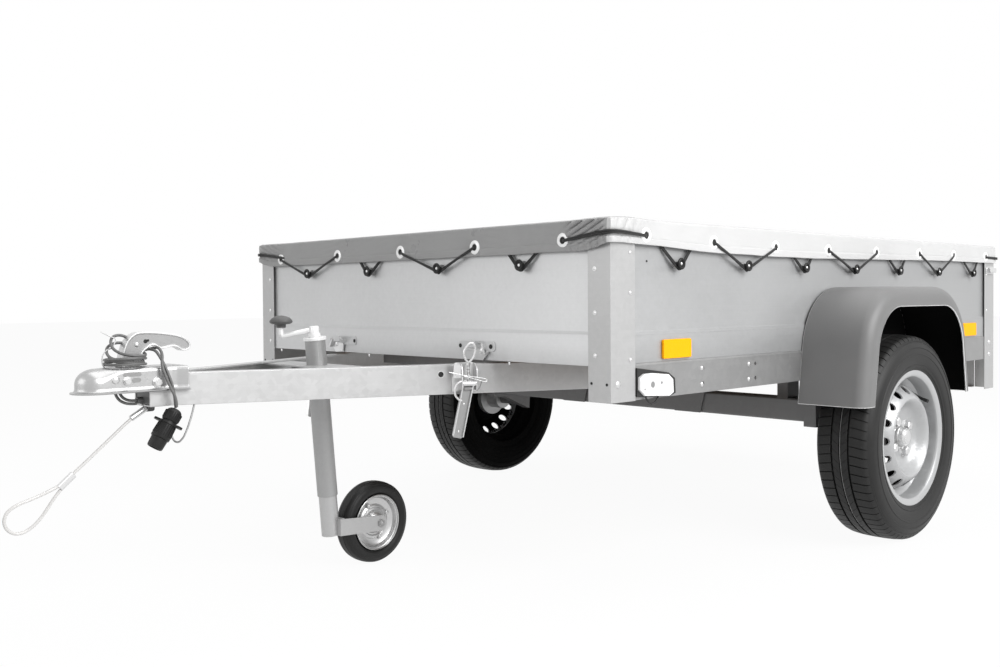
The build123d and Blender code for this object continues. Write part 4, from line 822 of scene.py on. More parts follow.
# jockey wheel: solid rubber tyre with two ridges, on a pressed rim
jockeyWheel = {
    "centre": (-0.0066715, -0.708525, 0.100),
    "axis": (0.998630, 0.052336, 0.0),
    "tyre": ((17.0, 66.4), (18.5, 70.0), (22.0, 72.5), (24.4, 77.0), (24.9, 82.0), (24.3, 87.0), (22.6, 91.0),
             (21.6, 92.0), (21.6, 93.4), (20.2, 95.6), (16.0, 98.3), (9.4, 99.5), (8.6, 98.6), (7.4, 98.6),
             (6.6, 99.8), (0.0, 100.0)),
    "rim": ((22.6, 66.0), (23.6, 67.0), (22.6, 68.2), (20.4, 67.4), (18.6, 63.0), (9.5, 58.5), (6.6, 53.0),
            (5.2, 44.0), (8.4, 40.5), (9.0, 36.0), (5.4, 33.0), (6.4, 29.0), (14.0, 25.5), (19.0, 21.0),
            (20.6, 15.0), (21.4, 10.6), (21.8, 8.2)),
    "boltRing": 0.043,
    "boltSeat": 0.009,
}


def makeJockeyWheel(look):
    place = standing(look["centre"], look["axis"])
    bm = bmesh.new()
    spinProfile(bm, bothSides(look["tyre"]), place, steps=72, closed=True)
    finishPiece("jockeyTyre", bm, "tyreRubber", "jockey_wheel", smooth=40.0, stands=("jockey_tyre",))
    bm = bmesh.new()
    half = metres(look["rim"])
    for turn in (0.0, math.pi):
        side = place @ Matrix.Rotation(turn, 4, "X")
        thick = [(along - 0.0022, radius - 0.001) for along, radius in reversed(half)]
        spinProfile(bm, half + thick, side, steps=64, closed=True)
        for index in range(4):
            angle = math.tau * index / 4 + 0.4
            spot = side @ around(look["boltRing"], angle, look["boltSeat"])
            outward = side.to_3x3() @ Vector((0, 0, 1))
            addBolt(bm, spot - outward * 0.002, outward, 0.0062, turn=angle)
    addDisc(bm, place @ Vector((0, 0, -0.0021)), look["axis"], 0.0665, 0.0042, 64)
    finishPiece("jockeyRim", bm, "jockeyRimZinc", "jockey_wheel", smooth=35.0,
                stands=("jockey_rim",))
    bm = bmesh.new()
    for turn in (0.0, math.pi):
        side = place @ Matrix.Rotation(turn, 4, "X")
        outward = side.to_3x3() @ Vector((0, 0, 1))
        addDisc(bm, side @ Vector((0, 0, 0.0305)), outward, 0.0130, 0.0022)
        addDisc(bm, side @ Vector((0, 0, 0.0325)), outward, 0.0105, 0.0068, 6)
        addDome(bm, side @ Vector((0, 0, 0.039)), outward, 0.0062, 0.6)
    finishPiece("jockeyPinNuts", bm, "tubeZinc", "jockey_caster")


makeJockeyWheel(jockeyWheel)
print("wheels made")
# places on the four walls: along the wall, out from its posts' face, height
wallPlanes = {
    # name: a place on the wall's plane, the direction along it, its outward normal
    "front": ((0.0, trailer["front"], 0.0), (1, 0, 0), (0, -1, 0)),
    "left": ((trailer["halfWidth"], trailer["front"], 0.0), (0, 1, 0), (1, 0, 0)),
    "right": ((-trailer["halfWidth"], trailer["front"], 0.0), (0, 1, 0), (-1, 0, 0)),
    "rear": ((0.0, trailer["rear"], 0.0), (1, 0, 0), (0, 1, 0)),
    "flap": ((0.0, trailer["rear"] - 0.0046, 0.0), (1, 0, 0), (0, 1, 0)),
}


def kindOf(wall):
    return "side" if wall in ("left", "right") else wall


def onWall(wall, along, out, height):
    origin, direction, normal = (Vector(part) for part in wallPlanes[wall])
    return origin + direction * along + normal * out + Vector((0, 0, height))


# value at a place, from rows of (place, value) in order
def between(rows, place):
    for (start, low), (end, high) in zip(rows, rows[1:]):
        if place <= end:
            return low + (high - low) * min(max((place - start) / (end - start), 0.0), 1.0)
    return rows[-1][1]


def noiseAt(x, y, z):
    return fieldNoise.noise(Vector((x, y, z)))


def bell(distance, width):
    return math.exp(-(distance / width) ** 2)


# a smooth path through the points
def smoothPath(points, steps):
    points = [Vector(point) for point in points]
    ends = [2 * points[0] - points[1]] + points + [2 * points[-1] - points[-2]]
    path = []
    for a, b, c, d in zip(ends, ends[1:], ends[2:], ends[3:]):
        for index in range(steps):
            t = index / steps
            path.append(0.5 * (2 * b + (c - a) * t + (2 * a - 5 * b + 4 * c - d) * t * t
                               + (3 * b - a - 3 * c + d) * t ** 3))
    return path + [points[-1]]


# a round bar along a path, closed at its ends
def addTube(bm, path, radius, segments=10):
    rings = []
    across = None
    for index, point in enumerate(path):
        ahead = (path[min(index + 1, len(path) - 1)] - path[max(index - 1, 0)]).normalized()
        if across is None:
            across = ahead.orthogonal().normalized()
        across = (across - ahead * across.dot(ahead)).normalized()
        other = ahead.cross(across)
        rings.append([bm.verts.new(point + radius * (across * math.cos(math.tau * k / segments)
                                                     + other * math.sin(math.tau * k / segments)))
                      for k in range(segments)])
    faces = [bm.faces.new(rings[0][::-1]), bm.faces.new(rings[-1])]
    for ring, after in zip(rings, rings[1:]):
        for k in range(segments):
            n = (k + 1) % segments
            faces.append(bm.faces.new((ring[k], ring[n], after[n], after[k])))
    return faces


# a place beside the middle plane: side in metres, then behind the front posts and up in millimetres
def atSide(side, behind, height):
    return Vector((side, back(behind / 1000), height / 1000))


# the cover: one sheet of coated cloth over the walls, its skirts under elastic
cover = {
    "thickness": 0.0016,
    "top": 0.8166,
    "sag": 0.012,
    "across": ((-0.6845, 10), (-0.6208, 10), (-0.55, 52), (0.55, 34), (0.6208, 30), (0.6845, 0)),
    "along": ((-0.0018, 46), (0.135, 84), (1.94, 12), (2.0406, 0)),
    "rows": (0.0, 0.0012, 0.0034, 0.0064, 0.0082, 0.0100, 0.0120, 0.0140, 0.0160, 0.0180, 0.0200, 0.0220,
             0.0240, 0.0260, 0.0280, 0.0300, 0.0320, 0.0340, 0.0360, 0.0380, 0.0400, 0.0420, 0.0450, 0.0480,
             0.0492, 0.0504, 0.0540, 0.0580, 0.0620, 0.0640),
    "seam": 0.0486,
    "cornerScale": 0.72,  # on a corner's own column, which stands out both ways
    "tuck": ((0.0, 0.0034), (0.0012, 0.0010), (0.0034, 0.0), (1.0, 0.0)),  # rounding of its top edge
    "hem": {
        "front": ((0.0, 0.7492), (0.60, 0.7500), (0.625, 0.7515), (0.658, 0.7565), (0.6845, 0.7650)),
        "side": ((0.0, 0.7650), (0.03, 0.7660), (0.08, 0.7640), (0.16, 0.7620), (0.23, 0.7585),
                 (0.31, 0.7540), (0.50, 0.7510), (0.75, 0.7490), (1.0, 0.7515), (1.3, 0.7555), (1.6, 0.7600),
                 (2.04, 0.7600)),
        "rear": ((0.0, 0.7590), (0.7, 0.7600)),
    },
    "eyelets": {
        "front": ((-0.572, 0.770), (-0.284, 0.770), (-0.007, 0.770), (0.273, 0.771), (0.553, 0.7745)),
        "side": ((0.115, 0.7835), (0.365, 0.776), (0.631, 0.773), (0.893, 0.772), (1.167, 0.774),
                 (1.446, 0.777), (1.698, 0.779), (1.960, 0.780)),
        "rear": ((-0.652, 0.781), (0.652, 0.781)),
        "flap": ((-0.572, 0.770), (-0.284, 0.770), (-0.007, 0.770), (0.273, 0.771)),
    },
}


coverEdge = cover["across"][-1][0]


def stationsOf(rows):
    stations = []
    for (start, cells), (end, _) in zip(rows, rows[1:]):
        stations += [start + (end - start) * index / cells for index in range(cells)]
    return stations + [rows[-1][0]]


# how the cloth's waves are spread; what stands out is in millimetres, places are in metres
clothLook = {
    "skirt": 0.064,  # nominal drop of a skirt
    "seeds": {"front": 0.0, "left": 7.0, "right": 13.0, "rear": 19.0},
    "farCorner": 0.55,  # strength of the folds at the right-hand corners, against the left-hand ones
    "foldStart": 0.128,  # a front skirt's folds start here, before the corner
    "foldFade": 0.030,
    "foldPitch": 0.0125,
    "foldHeight": 8.5,
    "sideLength": 2.04,
    "strandOn": {"front": 0.131, "side": 0.105},  # how far the corner strand reaches round
    "strandHeight": 0.7868,
    "strandRise": 0.102,
    "strandBelow": 0.002,
    "pinch": 0.80,
    "eyeletFlat": 0.017,
    "hem": 0.55,
    "seamDip": 0.5,
    "seamWidth": 0.0014,
}


def ridges(phase, sharpness=1.0):
    return abs(math.sin(phase)) ** sharpness


# soft waves and slanting ripples that run all along a skirt
def looseWaves(wall, along, drop, height, share):
    side = kindOf(wall) == "side"
    seed = clothLook["seeds"][wall]
    wave = 0.9 + 0.9 * noiseAt(along * 13.0, height * 20.0, seed) * share
    wave += 1.0 * (1 - share) * abs(noiseAt(along * 55.0 + drop * 30.0, drop * 20.0, seed))
    bands = noiseAt(along * 6.0, 3.0, seed)
    slant = along * 0.45 + (-height if along > 0 or side else height) * 0.9
    return wave + (0.5 + bands) * (0.5 if side else 0.9) * ridges(slant * 230.0 + 3.0 * bands)


# folds that sweep from a front corner's eyelet up to the corner
def frontFolds(corner, height, share):
    look = clothLook
    rise = -(corner + 0.131) * 0.40 + (height - 0.775) * 0.92
    window = min(max((corner + look["foldStart"]) / look["foldFade"], 0.0), 1.0) * (1 - bell(corner, 0.012))
    ridge = ridges(rise * math.pi / look["foldPitch"] + 0.6, 0.7)
    wave = window * look["foldHeight"] * ridge * (0.35 + 0.65 * min(max((height - 0.765) / 0.02, 0), 1))
    wave += 4.2 * ridges(corner * 150.0 + height * 55.0, 0.6) * bell(corner + 0.035, 0.040) * share
    return wave + 2.4 * ridges(corner * 60.0 + height * 30.0) * bell(corner + 0.16, 0.08)


def sideFolds(corner, height, share):
    ridge = ridges(corner * 95.0 - height * 60.0, 0.8)
    wave = 5.0 * ridge * bell(corner - 0.045, 0.045) * (1 - 0.5 * share)
    return wave + 2.0 * ridges(corner * 210.0 + height * 90.0) * bell(corner - 0.055, 0.040)


# how far the cloth stands out from its plane, in metres
def clothWave(wall, along, drop, height):
    look = clothLook
    side = kindOf(wall) == "side"
    corner = along if side else abs(along) - coverEdge
    share = drop / look["skirt"]
    near = 1.0 if wall == "left" or (wall == "front" and along > 0) else look["farCorner"]
    if wall == "rear":
        near = 0.0
    wave = looseWaves(wall, along, drop, height, share)
    wave += near * (sideFolds if side else frontFolds)(corner, height, share)
    if side:
        rearward = corner - look["sideLength"]
        wave += 2.0 * ridges(rearward * 130.0 + height * 50.0) * bell(rearward + 0.02, 0.045)
    wave += (5.0 * near + 2.2) * bell(corner, 0.026) * (0.7 + 0.3 * math.sin(share * math.pi))
    # held in where the elastic runs round the corner
    if wall != "rear" and corner < look["strandOn"]["side"] and (side or corner > -look["strandOn"]["front"]):
        strand = look["strandHeight"] + (0.0 if side else 0.0012 + corner * look["strandRise"])
        pinch = 1.0 - look["pinch"] * bell(height - strand + look["strandBelow"], 0.0062)
        wave = wave * pinch + 1.4 * (1.0 - pinch)
    for place, level in cover["eyelets"][kindOf(wall)]:
        reach = math.hypot(along - place, height - level)
        wave *= 1.0 - 0.9 * bell(reach, look["eyeletFlat"])
        # a short pull above each eyelet
        wave += 0.9 * bell(along - place - 0.004, 0.005) * max(height - level - 0.012, 0.0) / 0.03
    # the hem is doubled up to its seam
    if drop > cover["seam"]:
        wave += look["hem"]
    elif drop > cover["seam"] - look["seamWidth"]:
        wave -= look["seamDip"]
    return wave / 1000


def coverTop(x, y):
    across = abs(x) / coverEdge
    along = (y - trailer["front"]) / 2.0388 * 2 - 1
    hollow = (1 - across ** 6) * (1 - abs(along) ** 8)
    wave = noiseAt(x * 5.0, y * 4.0, 3.0) + 0.4 * noiseAt(x * 17, y * 9, 5)
    height = cover["top"] - cover["sag"] * hollow + 0.004 * wave * hollow
    edge = 1 - max(across, abs(along)) ** 20
    height += 0.0008 * noiseAt(x * 24.0, y * 24.0, 8.0) * edge
    lift = math.hypot(x - 0.65, y - back(0.06))
    return height + 0.0045 * bell(lift, 0.055) + 0.0015 * bell(math.hypot(x + 0.64, y - back(0.03)), 0.07)


# the cloth's cells at the edge in order, each with its wall: from the rear left post round to the right
def skirtChain(grid):
    rightCells, leftCells = cover["across"][0][1], cover["across"][-2][1]  # of the rear posts' skirts
    last = len(grid[0]) - 1
    chain = [("rear", grid[-1][k]) for k in range(last - leftCells, last)]
    chain += [("left", row[-1]) for row in reversed(grid)]
    chain += [("front", vert) for vert in reversed(grid[0][:-1])]
    chain += [("right", row[0]) for row in grid[1:]]
    return chain + [("rear", grid[-1][k]) for k in range(1, rightCells + 1)]


# one column of a skirt, from the top's edge down to the hem
def skirtColumn(bm, wall, vert, front, rear):
    look = cover
    x, y, topHeight = vert.co
    sideways = abs(x) > coverEdge - 0.0001
    lengthways = y < front + 0.0001 or y > rear - 0.0001
    along = y - trailer["front"] if kindOf(wall) == "side" else x
    hem = between(look["hem"][kindOf(wall)], along if kindOf(wall) == "side" else abs(along))
    hem += 0.0010 * noiseAt(along * 9.0, 1.0, 2.0)
    outward = Vector((math.copysign(sideways, x), math.copysign(lengthways, y), 0))
    scale = look["cornerScale"] if sideways and lengthways else 1.0
    column = [vert]
    for index, nominal in enumerate(look["rows"]):
        drop = nominal * (topHeight - hem) / look["rows"][-1] if index > 3 else nominal
        height = topHeight - drop
        out = clothWave(wall, along, nominal, height) if index > 1 else 0.0
        out -= between(look["tuck"], nominal)
        spot = Vector((x, y, height)) + outward * out * scale
        if index == 0:
            vert.co = spot
        else:
            column.append(bm.verts.new(spot))
    return column


def makeCover(look):
    xs = stationsOf(look["across"])
    ys = [back(along) for along in stationsOf(look["along"])]
    bm = bmesh.new()
    grid = [[bm.verts.new((x, y, coverTop(x, y))) for x in xs] for y in ys]
    joinGrid(bm, grid)
    chain = skirtChain(grid)
    columns = [skirtColumn(bm, wall, vert, ys[0], ys[-1]) for wall, vert in chain]
    for (wall, _), column, after in zip(chain, columns, columns[1:]):
        for face in joinGrid(bm, (column, after)):
            # the front skirt takes the darker cloth, painted shade
            face.material_index = 1 if wall == "front" else 0
    bmesh.ops.recalc_face_normals(bm, faces=bm.faces)
    piece = finishPiece("coverSheet", bm, ["tarpCloth", "shadedCoverFront"], "bed", smooth=50.0,
                        stands=("tarp",))
    thicken(piece, "clothThickness", look["thickness"], 0.0)
    return piece


# the part that hangs on the tailgate
flapLook = {"half": 0.6158, "top": 0.8055, "hem": 0.7530, "cells": (150, 14), "stand": 0.0066}


def makeFlap(look):
    bm = bmesh.new()
    cells, rows = look["cells"]
    grid = []
    for j in range(rows + 1):
        height = look["top"] + (look["hem"] - look["top"]) * j / rows
        row = []
        for i in range(cells + 1):
            along = -look["half"] + 2 * look["half"] * i / cells
            wave = 0.0009 * noiseAt(along * 14.0, height * 16.0, 31.0)
            wave += 0.0006 * abs(math.sin(along * 60.0 + height * 80.0)) * j / rows
            row.append(bm.verts.new(onWall("flap", along, look["stand"] + wave, height)))
        grid.append(row)
    joinGrid(bm, grid)
    bmesh.ops.recalc_face_normals(bm, faces=bm.faces)
    piece = finishPiece("coverFlap", bm, "tarpCloth", "tailgate_body", smooth=50.0,
                        stands=("tarp_flap",))
    thicken(piece, "clothThickness", cover["thickness"], 0.0)
    return piece


# eyelets: a pressed ring with a dark hole, on the cloth
eyeletLook = {
    "ring": ((-0.0006, 0.0078), (0.0016, 0.0080), (0.0028, 0.0098), (0.0028, 0.0130), (0.0016, 0.0160),
             (0.0002, 0.0172), (-0.0006, 0.0170)),
    "hole": 0.0082,
}
clothFaces = {"front": 0.0028, "left": 0.0028, "right": 0.0028, "rear": 0.0030, "flap": 0.0076}


def addEyelets(walls, body, name):
    rings, holes = bmesh.new(), bmesh.new()
    for wall in walls:
        for along, height in cover["eyelets"][kindOf(wall)]:
            spot = onWall(wall, along, clothFaces[wall], height)
            spinProfile(rings, eyeletLook["ring"], standing(spot, wallPlanes[wall][2]), steps=28, closed=True)
            # each eyelet's hole is a near-black disc, painted shade
            addDisc(holes, spot, wallPlanes[wall][2], eyeletLook["hole"], 0.0008)
    ringPiece = finishPiece(name, rings, "eyeletMetal", body)
    holePiece = finishPiece(name + "Holes", holes, "darkHole", body)
    return [ringPiece, holePiece]


coverEyelets = addEyelets(("front", "left", "right", "rear"), "bed", "coverEyelets")
flapEyelets = addEyelets(("flap",), "tailgate_body", "flapEyelets")
coverSheet = makeCover(cover)
coverFlap = makeFlap(flapLook)

# buttons for the elastic: flange, stem, and a dished head with a pin in it
buttonLook = {
    "flange": ((0.0, 0.0), (0.0, 0.0098), (0.0022, 0.0098), (0.0034, 0.0084), (0.0052, 0.0056),
               (0.0056, 0.0)),
    "stem": ((0.004, 0.0), (0.004, 0.0050), (0.0165, 0.0050), (0.0165, 0.0)),
    "head": ((0.0152, 0.0), (0.0152, 0.0100), (0.0160, 0.0124), (0.0176, 0.0132), (0.0196, 0.0126),
             (0.0206, 0.0108), (0.0200, 0.0078), (0.0176, 0.0062), (0.0172, 0.0)),
    "pin": 0.0040,
    "height": 0.725,
    "front": (-0.426, -0.142, 0.142, 0.426),
    "side": tuple(0.231 + 0.2695 * index for index in range(7)),
}
wallFaces = {"front": -0.008, "left": -0.008, "right": -0.008, "flap": 0.0}


def addButtons(walls, body, node, name):
    plastic, pins = bmesh.new(), bmesh.new()
    flanges = bmesh.new()
    for wall in walls:
        for along in buttonLook["side" if wall in ("left", "right") else "front"]:
            place = standing(onWall(wall, along, wallFaces[wall], buttonLook["height"]), wallPlanes[wall][2])
            spinProfile(flanges, buttonLook["flange"], place, steps=24)
            spinProfile(plastic, buttonLook["stem"], place, steps=16)
            spinProfile(plastic, buttonLook["head"], place, steps=32)
            addDome(pins, place @ Vector((0, 0, 0.0172)), wallPlanes[wall][2], buttonLook["pin"], 0.7)
    finishPiece(name, plastic, "blackPlastic", body, smooth=40.0, stands=(node,))
    finishPiece(name + "Flanges", flanges, "greyPlastic", body, smooth=40.0)
    finishPiece(name + "Pins", pins, "boltMetal", body)


addButtons(("front", "left", "right"), "bed", "tarp_buttons", "coverButtons")
addButtons(("flap",), "tailgate_body", "tarp_buttons_rear", "flapButtons")

# elastic: doubled strands round a button, through two eyelets or from under the hem
elasticLook = {
    "radius": 0.0022,
    "spacing": 0.0046,
    "underStem": 0.0078,
    "hidden": 0.060,  # half the span of a strand that starts under the hem
    "hem": 0.768,
    "outside": {"front": ((0, 0, 1), (2, 2, 3)), "side": ((1, 1, 2), (3, 3, 4), (5, 5, 6)),
                "flap": ((0, 0, 1), (2, 2, 3))},
    "under": {"front": (1, 3), "side": (0, 2, 4, 6), "flap": (1, 3)},
}


def addStrand(bm, wall, points):
    path = smoothPath([onWall(wall, *point) for point in points], 4)
    addTube(bm, path, elasticLook["radius"])


# one strand down from its start, under the button's stem and up to its end
def strandPoints(wall, start, end, button, offset, hidden):
    reach = elasticLook["underStem"] + offset
    level = buttonLook["height"]
    atButton = wallFaces[wall] + 0.0113
    points = []
    for (along, height), sign in ((start, -1), (end, 1)):
        turn = Vector((sign * 0.80, -0.60)) * reach
        low = Vector((button + turn.x, level + turn.y))
        high = Vector((along, height))
        aside = (high - low).orthogonal().normalized()
        if aside.y > 0:
            aside = -aside
        if hidden:
            ends = [(high, wallFaces[wall] + 0.0050), (high.lerp(low, 0.35), wallFaces[wall] + 0.0060)]
        else:
            out = clothFaces[wall] + 0.0030
            inner = high + aside * (offset - 0.0026) * 0.5
            ends = [(inner, out - 0.0060), (inner.lerp(low, 0.05), out - 0.0008),
                    (high.lerp(low, 0.16) + aside * offset * 0.4, out + 0.0004), (high.lerp(low, 0.5), out)]
        leg = [(spot.x, out, spot.y) for spot, out in ends] + [(low.x, atButton, low.y)]
        points.append(leg)
    bottom = (button, atButton, level - reach)
    return points[0] + [bottom] + points[1][::-1]


def addElastic(walls):
    bm = bmesh.new()
    for wall in walls:
        kind = kindOf(wall)
        buttons = buttonLook["side" if kind == "side" else "front"]
        eyelets = cover["eyelets"][kind]
        for button, first, second in elasticLook["outside"][kind]:
            for offset in (0.0, elasticLook["spacing"]):
                addStrand(bm, wall, strandPoints(wall, eyelets[first], eyelets[second], buttons[button],
                                                 offset, False))
        for button in elasticLook["under"][kind]:
            place, hem = buttons[button], elasticLook["hem"]
            for offset in (0.0, elasticLook["spacing"]):
                reach = elasticLook["hidden"] + offset
                addStrand(bm, wall, strandPoints(wall, (place - reach, hem), (place + reach, hem), place,
                                                 offset, True))
    return bm


coverElastic = addElastic(("front", "left", "right"))
# strands round the corners, outside the cloth: rows of (side, behind the front posts, height)
cornerStrands = {
    "front": ((0.5530, 0.0020, 0.7745), (0.5590, -0.0056, 0.7752), (0.6088, -0.0092, 0.7812),
              (0.6600, -0.0112, 0.7872), (0.6890, -0.0094, 0.7888), (0.6958, 0.0040, 0.7892),
              (0.6954, 0.0300, 0.7885), (0.6925, 0.0600, 0.7868), (0.6888, 0.1090, 0.7838),
              (0.6810, 0.1150, 0.7835)),
    "rear": ((0.6810, 1.9600, 0.7800), (0.6885, 1.9660, 0.7800), (0.6905, 2.0100, 0.7790),
             (0.6925, 2.0400, 0.7780), (0.6860, 2.0486, 0.7780), (0.6600, 2.0445, 0.7800),
             (0.6520, 2.0360, 0.7810)),
}
for points in cornerStrands.values():
    for side in (1, -1):
        for lift in (0.0, -0.0042):
            count = len(points) - 1
            route = [Vector((side * x, back(y), z + lift * math.sin(math.pi * index / count) ** 0.5))
                     for index, (x, y, z) in enumerate(points)]
            addTube(coverElastic, smoothPath(route, 5), elasticLook["radius"])
finishPiece("coverElastic", coverElastic, "elasticCord", "bed", smooth=60.0)
finishPiece("flapElastic", addElastic(("flap",)), "elasticCord", "tailgate_body",
            smooth=60.0)
print("cover laid")

# marker lamps: a flat rubber holder and a clear lens in it; (behind the front posts, height)
markerLook = {
    "face": 0.6827 - 0.0023 + 0.0004,
    "holder": ((82.0, 440.7), (195.0, 434.5), (217.0, 440.5), (215.0, 473.5), (192.0, 487.0), (82.0, 502.0)),
    "lens": ((84.5, 455.8), (103.0, 441.8), (187.0, 436.5), (201.5, 443.5), (199.8, 472.2), (183.7, 484.0),
             (124.0, 489.6), (99.9, 488.8), (84.7, 481.2)),
    "depths": (0.0056, 0.0118),
    "wireFace": 0.6805,
    "marks": ((127.0, 464.7, 7.0), (158.0, 467.0, 3.2), (100.0, 456.0, 2.4)),  # seen through the lens
    "wire": ((112.0, 438.0, 4.0), (117.0, 430.0, 6.0), (124.0, 425.0, 7.0), (132.0, 423.5, 7.0),
             (143.0, 426.0, 6.0), (154.0, 434.0, 4.0), (157.0, 440.0, 2.0)),
}


# a prism standing on a side wall's plane; its rim is rounded afterwards
def addPrism(bm, side, outline, low, high):
    base = [bm.verts.new(atSide(side * low, y, z)) for y, z in outline]
    roof = [bm.verts.new(atSide(side * high, y, z)) for y, z in outline]
    return joinRings(bm, base, roof)


def makeMarkers(look):
    rubber, lens, inside, wires = bmesh.new(), bmesh.new(), bmesh.new(), bmesh.new()
    low, high = (look["face"] + depth for depth in look["depths"])
    for side in (1, -1):
        addPrism(rubber, side, look["holder"], look["face"], low)
        roof = addPrism(lens, side, look["lens"], low - 0.0010, high)
        bmesh.ops.inset_region(lens, faces=[roof], thickness=0.0045, depth=0.0008)
        bmesh.ops.inset_region(lens, faces=[roof], thickness=0.0015, depth=-0.0006)
        for along, height, radius in look["marks"]:
            addDisc(inside, atSide(side * (high + 0.0001), along, height), (side, 0, 0),
                    radius / 1000, 0.0003, 20)
        path = [atSide(side * (look["wireFace"] + out / 1000), y, z) for y, z, out in look["wire"]]
        addTube(wires, smoothPath(path, 5), 0.0022, 8)
    holder = finishPiece("markerHolders", rubber, "lampRubber", "bed", stands=("marker_lamps",))
    softenEdges(holder, 0.0012)
    glass = finishPiece("markerLenses", lens, "clearLens", "bed")
    softenEdges(glass, 0.0010)
    finishPiece("markerInsides", inside, "lampInside", "bed")
    finishPiece("markerWires", wires, "lampRubber", "bed", smooth=60.0)


makeMarkers(markerLook)

# fasteners of the body: (wall, along, out, height, radius), in millimetres
fasteners = {
    "rivets": (
        ("front", 640.0, 0.0, 712.0, 4.0), ("front", 640.0, 0.0, 620.0, 4.0),
        ("front", 640.0, 0.0, 530.0, 4.0), ("front", -640.0, 0.0, 712.0, 4.0),
        ("front", -640.0, 0.0, 620.0, 4.0), ("front", -640.0, 0.0, 530.0, 4.0),
        ("front", -586.0, -4.5, 503.0, 3.2), ("front", -153.0, -4.5, 503.0, 3.2),
        ("front", 379.0, -4.5, 503.0, 3.2),
        ("sides", 64.5, 0.0, 661.0, 4.0), ("sides", 64.5, 0.0, 520.0, 4.0), ("sides", 64.5, 0.0, 746.0, 3.4),
        ("sides", 1977.0, 0.0, 600.0, 4.0), ("sides", 1977.0, 0.0, 720.0, 4.0),
    ),
    "bolts": (
        ("sides", 22.7, 0.0, 470.0, 8.0), ("sides", 2000.0, 0.0, 490.0, 8.0),
        ("sides", 2000.0, 0.0, 449.0, 8.0),
    ),
    "holes": (
        ("front", 630.0, 0.0, 471.6, 3.2), ("front", 672.0, 0.0, 470.8, 3.2),
        ("sides", 130.0, -8.0, 729.0, 2.6),
        ("front", -630.0, 0.0, 471.6, 3.2), ("front", -672.0, 0.0, 470.8, 3.2),
        ("front", 215.3, -1.2, 539.5, 5.0), ("front", 321.0, -1.2, 539.5, 5.6),
        ("front", -215.3, -1.2, 539.5, 5.0), ("front", -321.0, -1.2, 539.5, 5.6),
    ),
}


def wallsOf(label):
    return ("left", "right") if label == "sides" else (label,)


bolts, holes = bmesh.new(), bmesh.new()
for kind, rows in fasteners.items():
    for label, along, out, height, radius in rows:
        for wall in wallsOf(label):
            spot = onWall(wall, along / 1000, out / 1000, height / 1000)
            outward = wallPlanes[wall][2]
            if kind == "rivets":
                addDisc(bolts, spot, outward, radius / 1000 * 1.25, 0.0006, 20)
            # the walls' holes are near-black discs, painted shade
            if kind == "holes":
                addDisc(holes, spot, outward, radius / 1000, 0.0004, 20)
            else:
                addDome(bolts, spot, outward, radius / 1000, 0.55 if kind == "rivets" else 0.42)
finishPiece("bodyRivets", bolts, "boltMetal", "bed")
finishPiece("bodyHoles", holes, "darkHole", "bed")

# bolts through the rails, seen at the sides: (behind the front posts, height), in millimetres
railLook = {
    "face": 0.6827 - 0.0023,
    "boltsBehind": (324.0, 518.0, 1560.0),
    "boltHeights": (489.0, 452.0),
    "boltRadius": 0.0056,
}
bm = bmesh.new()
for along in railLook["boltsBehind"]:
    for height in railLook["boltHeights"]:
        for side in (1, -1):
            spot = atSide(side * railLook["face"], along, height)
            addDome(bm, spot, (side, 0, 0), railLook["boltRadius"], 0.5)
finishPiece("railBolts", bm, "boltMetal", "bed")
print("body trimmed")


# the walls' folds and the rails' upper lips, as sections of (out, height) along each wall
foldLook = {
    "front": {"reach": (-0.6205, 0.6205), "finish": "panelZinc",
              "section": ((-0.0046, 0.5738), (-0.0041, 0.5738), (-0.0076, 0.5800), (-0.0081, 0.5800))},
    # the side walls' folds take the same darker zinc, painted shade
    "sides": {"reach": (0.0806, 1.9613), "finish": "sideZinc",
              "section": ((-0.0046, 0.5712), (-0.0041, 0.5712), (-0.0076, 0.5802), (-0.0081, 0.5802))},
    "rails": {"reach": (0.0806, 1.9613), "finish": "sectionZinc",
              "section": ((-0.0024, 0.5052), (-0.0018, 0.5052), (-0.0018, 0.5090), (-0.0030, 0.5112),
                          (-0.0046, 0.5112), (-0.0032, 0.5095))},
}


def addBand(bm, wall, reach, section):
    joinRings(bm, *[[bm.verts.new(onWall(wall, along, out, height)) for out, height in section]
                    for along in reach])


for label, look in foldLook.items():
    bm = bmesh.new()
    for wall in ("front",) if label == "front" else ("left", "right"):
        addBand(bm, wall, look["reach"], look["section"])
    finishPiece(label + "Folds", bm, look["finish"], "bed")

# the fenders' insides are painted dark as painted shade, and a near-black sheet of painted shade closes them
# towards the bed
fenderLook = {
    "middle": (0.43825, 0.45),
    "outer": 0.8627,
    "liner": (0.6813, 0.6823),
    "feet": ((747.0, 376.0), (1389.0, 376.0)),
    "corners": ((940.0, 500.0, 171.0, 90.0), (1196.0, 500.0, 90.0, 9.0)),
    "radius": 171.0,
}


def paintFenderShade(look):
    mesh = dressed["fenders"].data
    mesh.materials.append(materials["insideBlack"])
    for polygon in mesh.polygons:
        out = abs(polygon.center.x)
        side = math.copysign(1.0, polygon.center.x)
        inward = Vector((0, look["middle"][0] - polygon.center.y, look["middle"][1] - polygon.center.z))
        inside = polygon.normal.dot(inward.normalized()) > 0.2 and out < look["outer"] - 0.0045
        if inside or (side * polygon.normal.x < -0.5 and out > 0.70):
            polygon.material_index = 2
    bm = bmesh.new()
    outline = [look["feet"][0]]
    for middle, height, start, end in look["corners"]:
        for step in range(13):
            angle = math.radians(start + (end - start) * step / 12)
            corner = around(look["radius"], angle, 0.0)
            outline.append((middle + corner.x, height + corner.y))
    outline.append(look["feet"][1])
    for side in (1, -1):
        addPrism(bm, side, outline, *look["liner"])
    # a near-black sheet in each arch, painted shade
    finishPiece("fenderShadeSheets", bm, "insideBlack", dressed["fenders"]["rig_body"])


paintFenderShade(fenderLook)

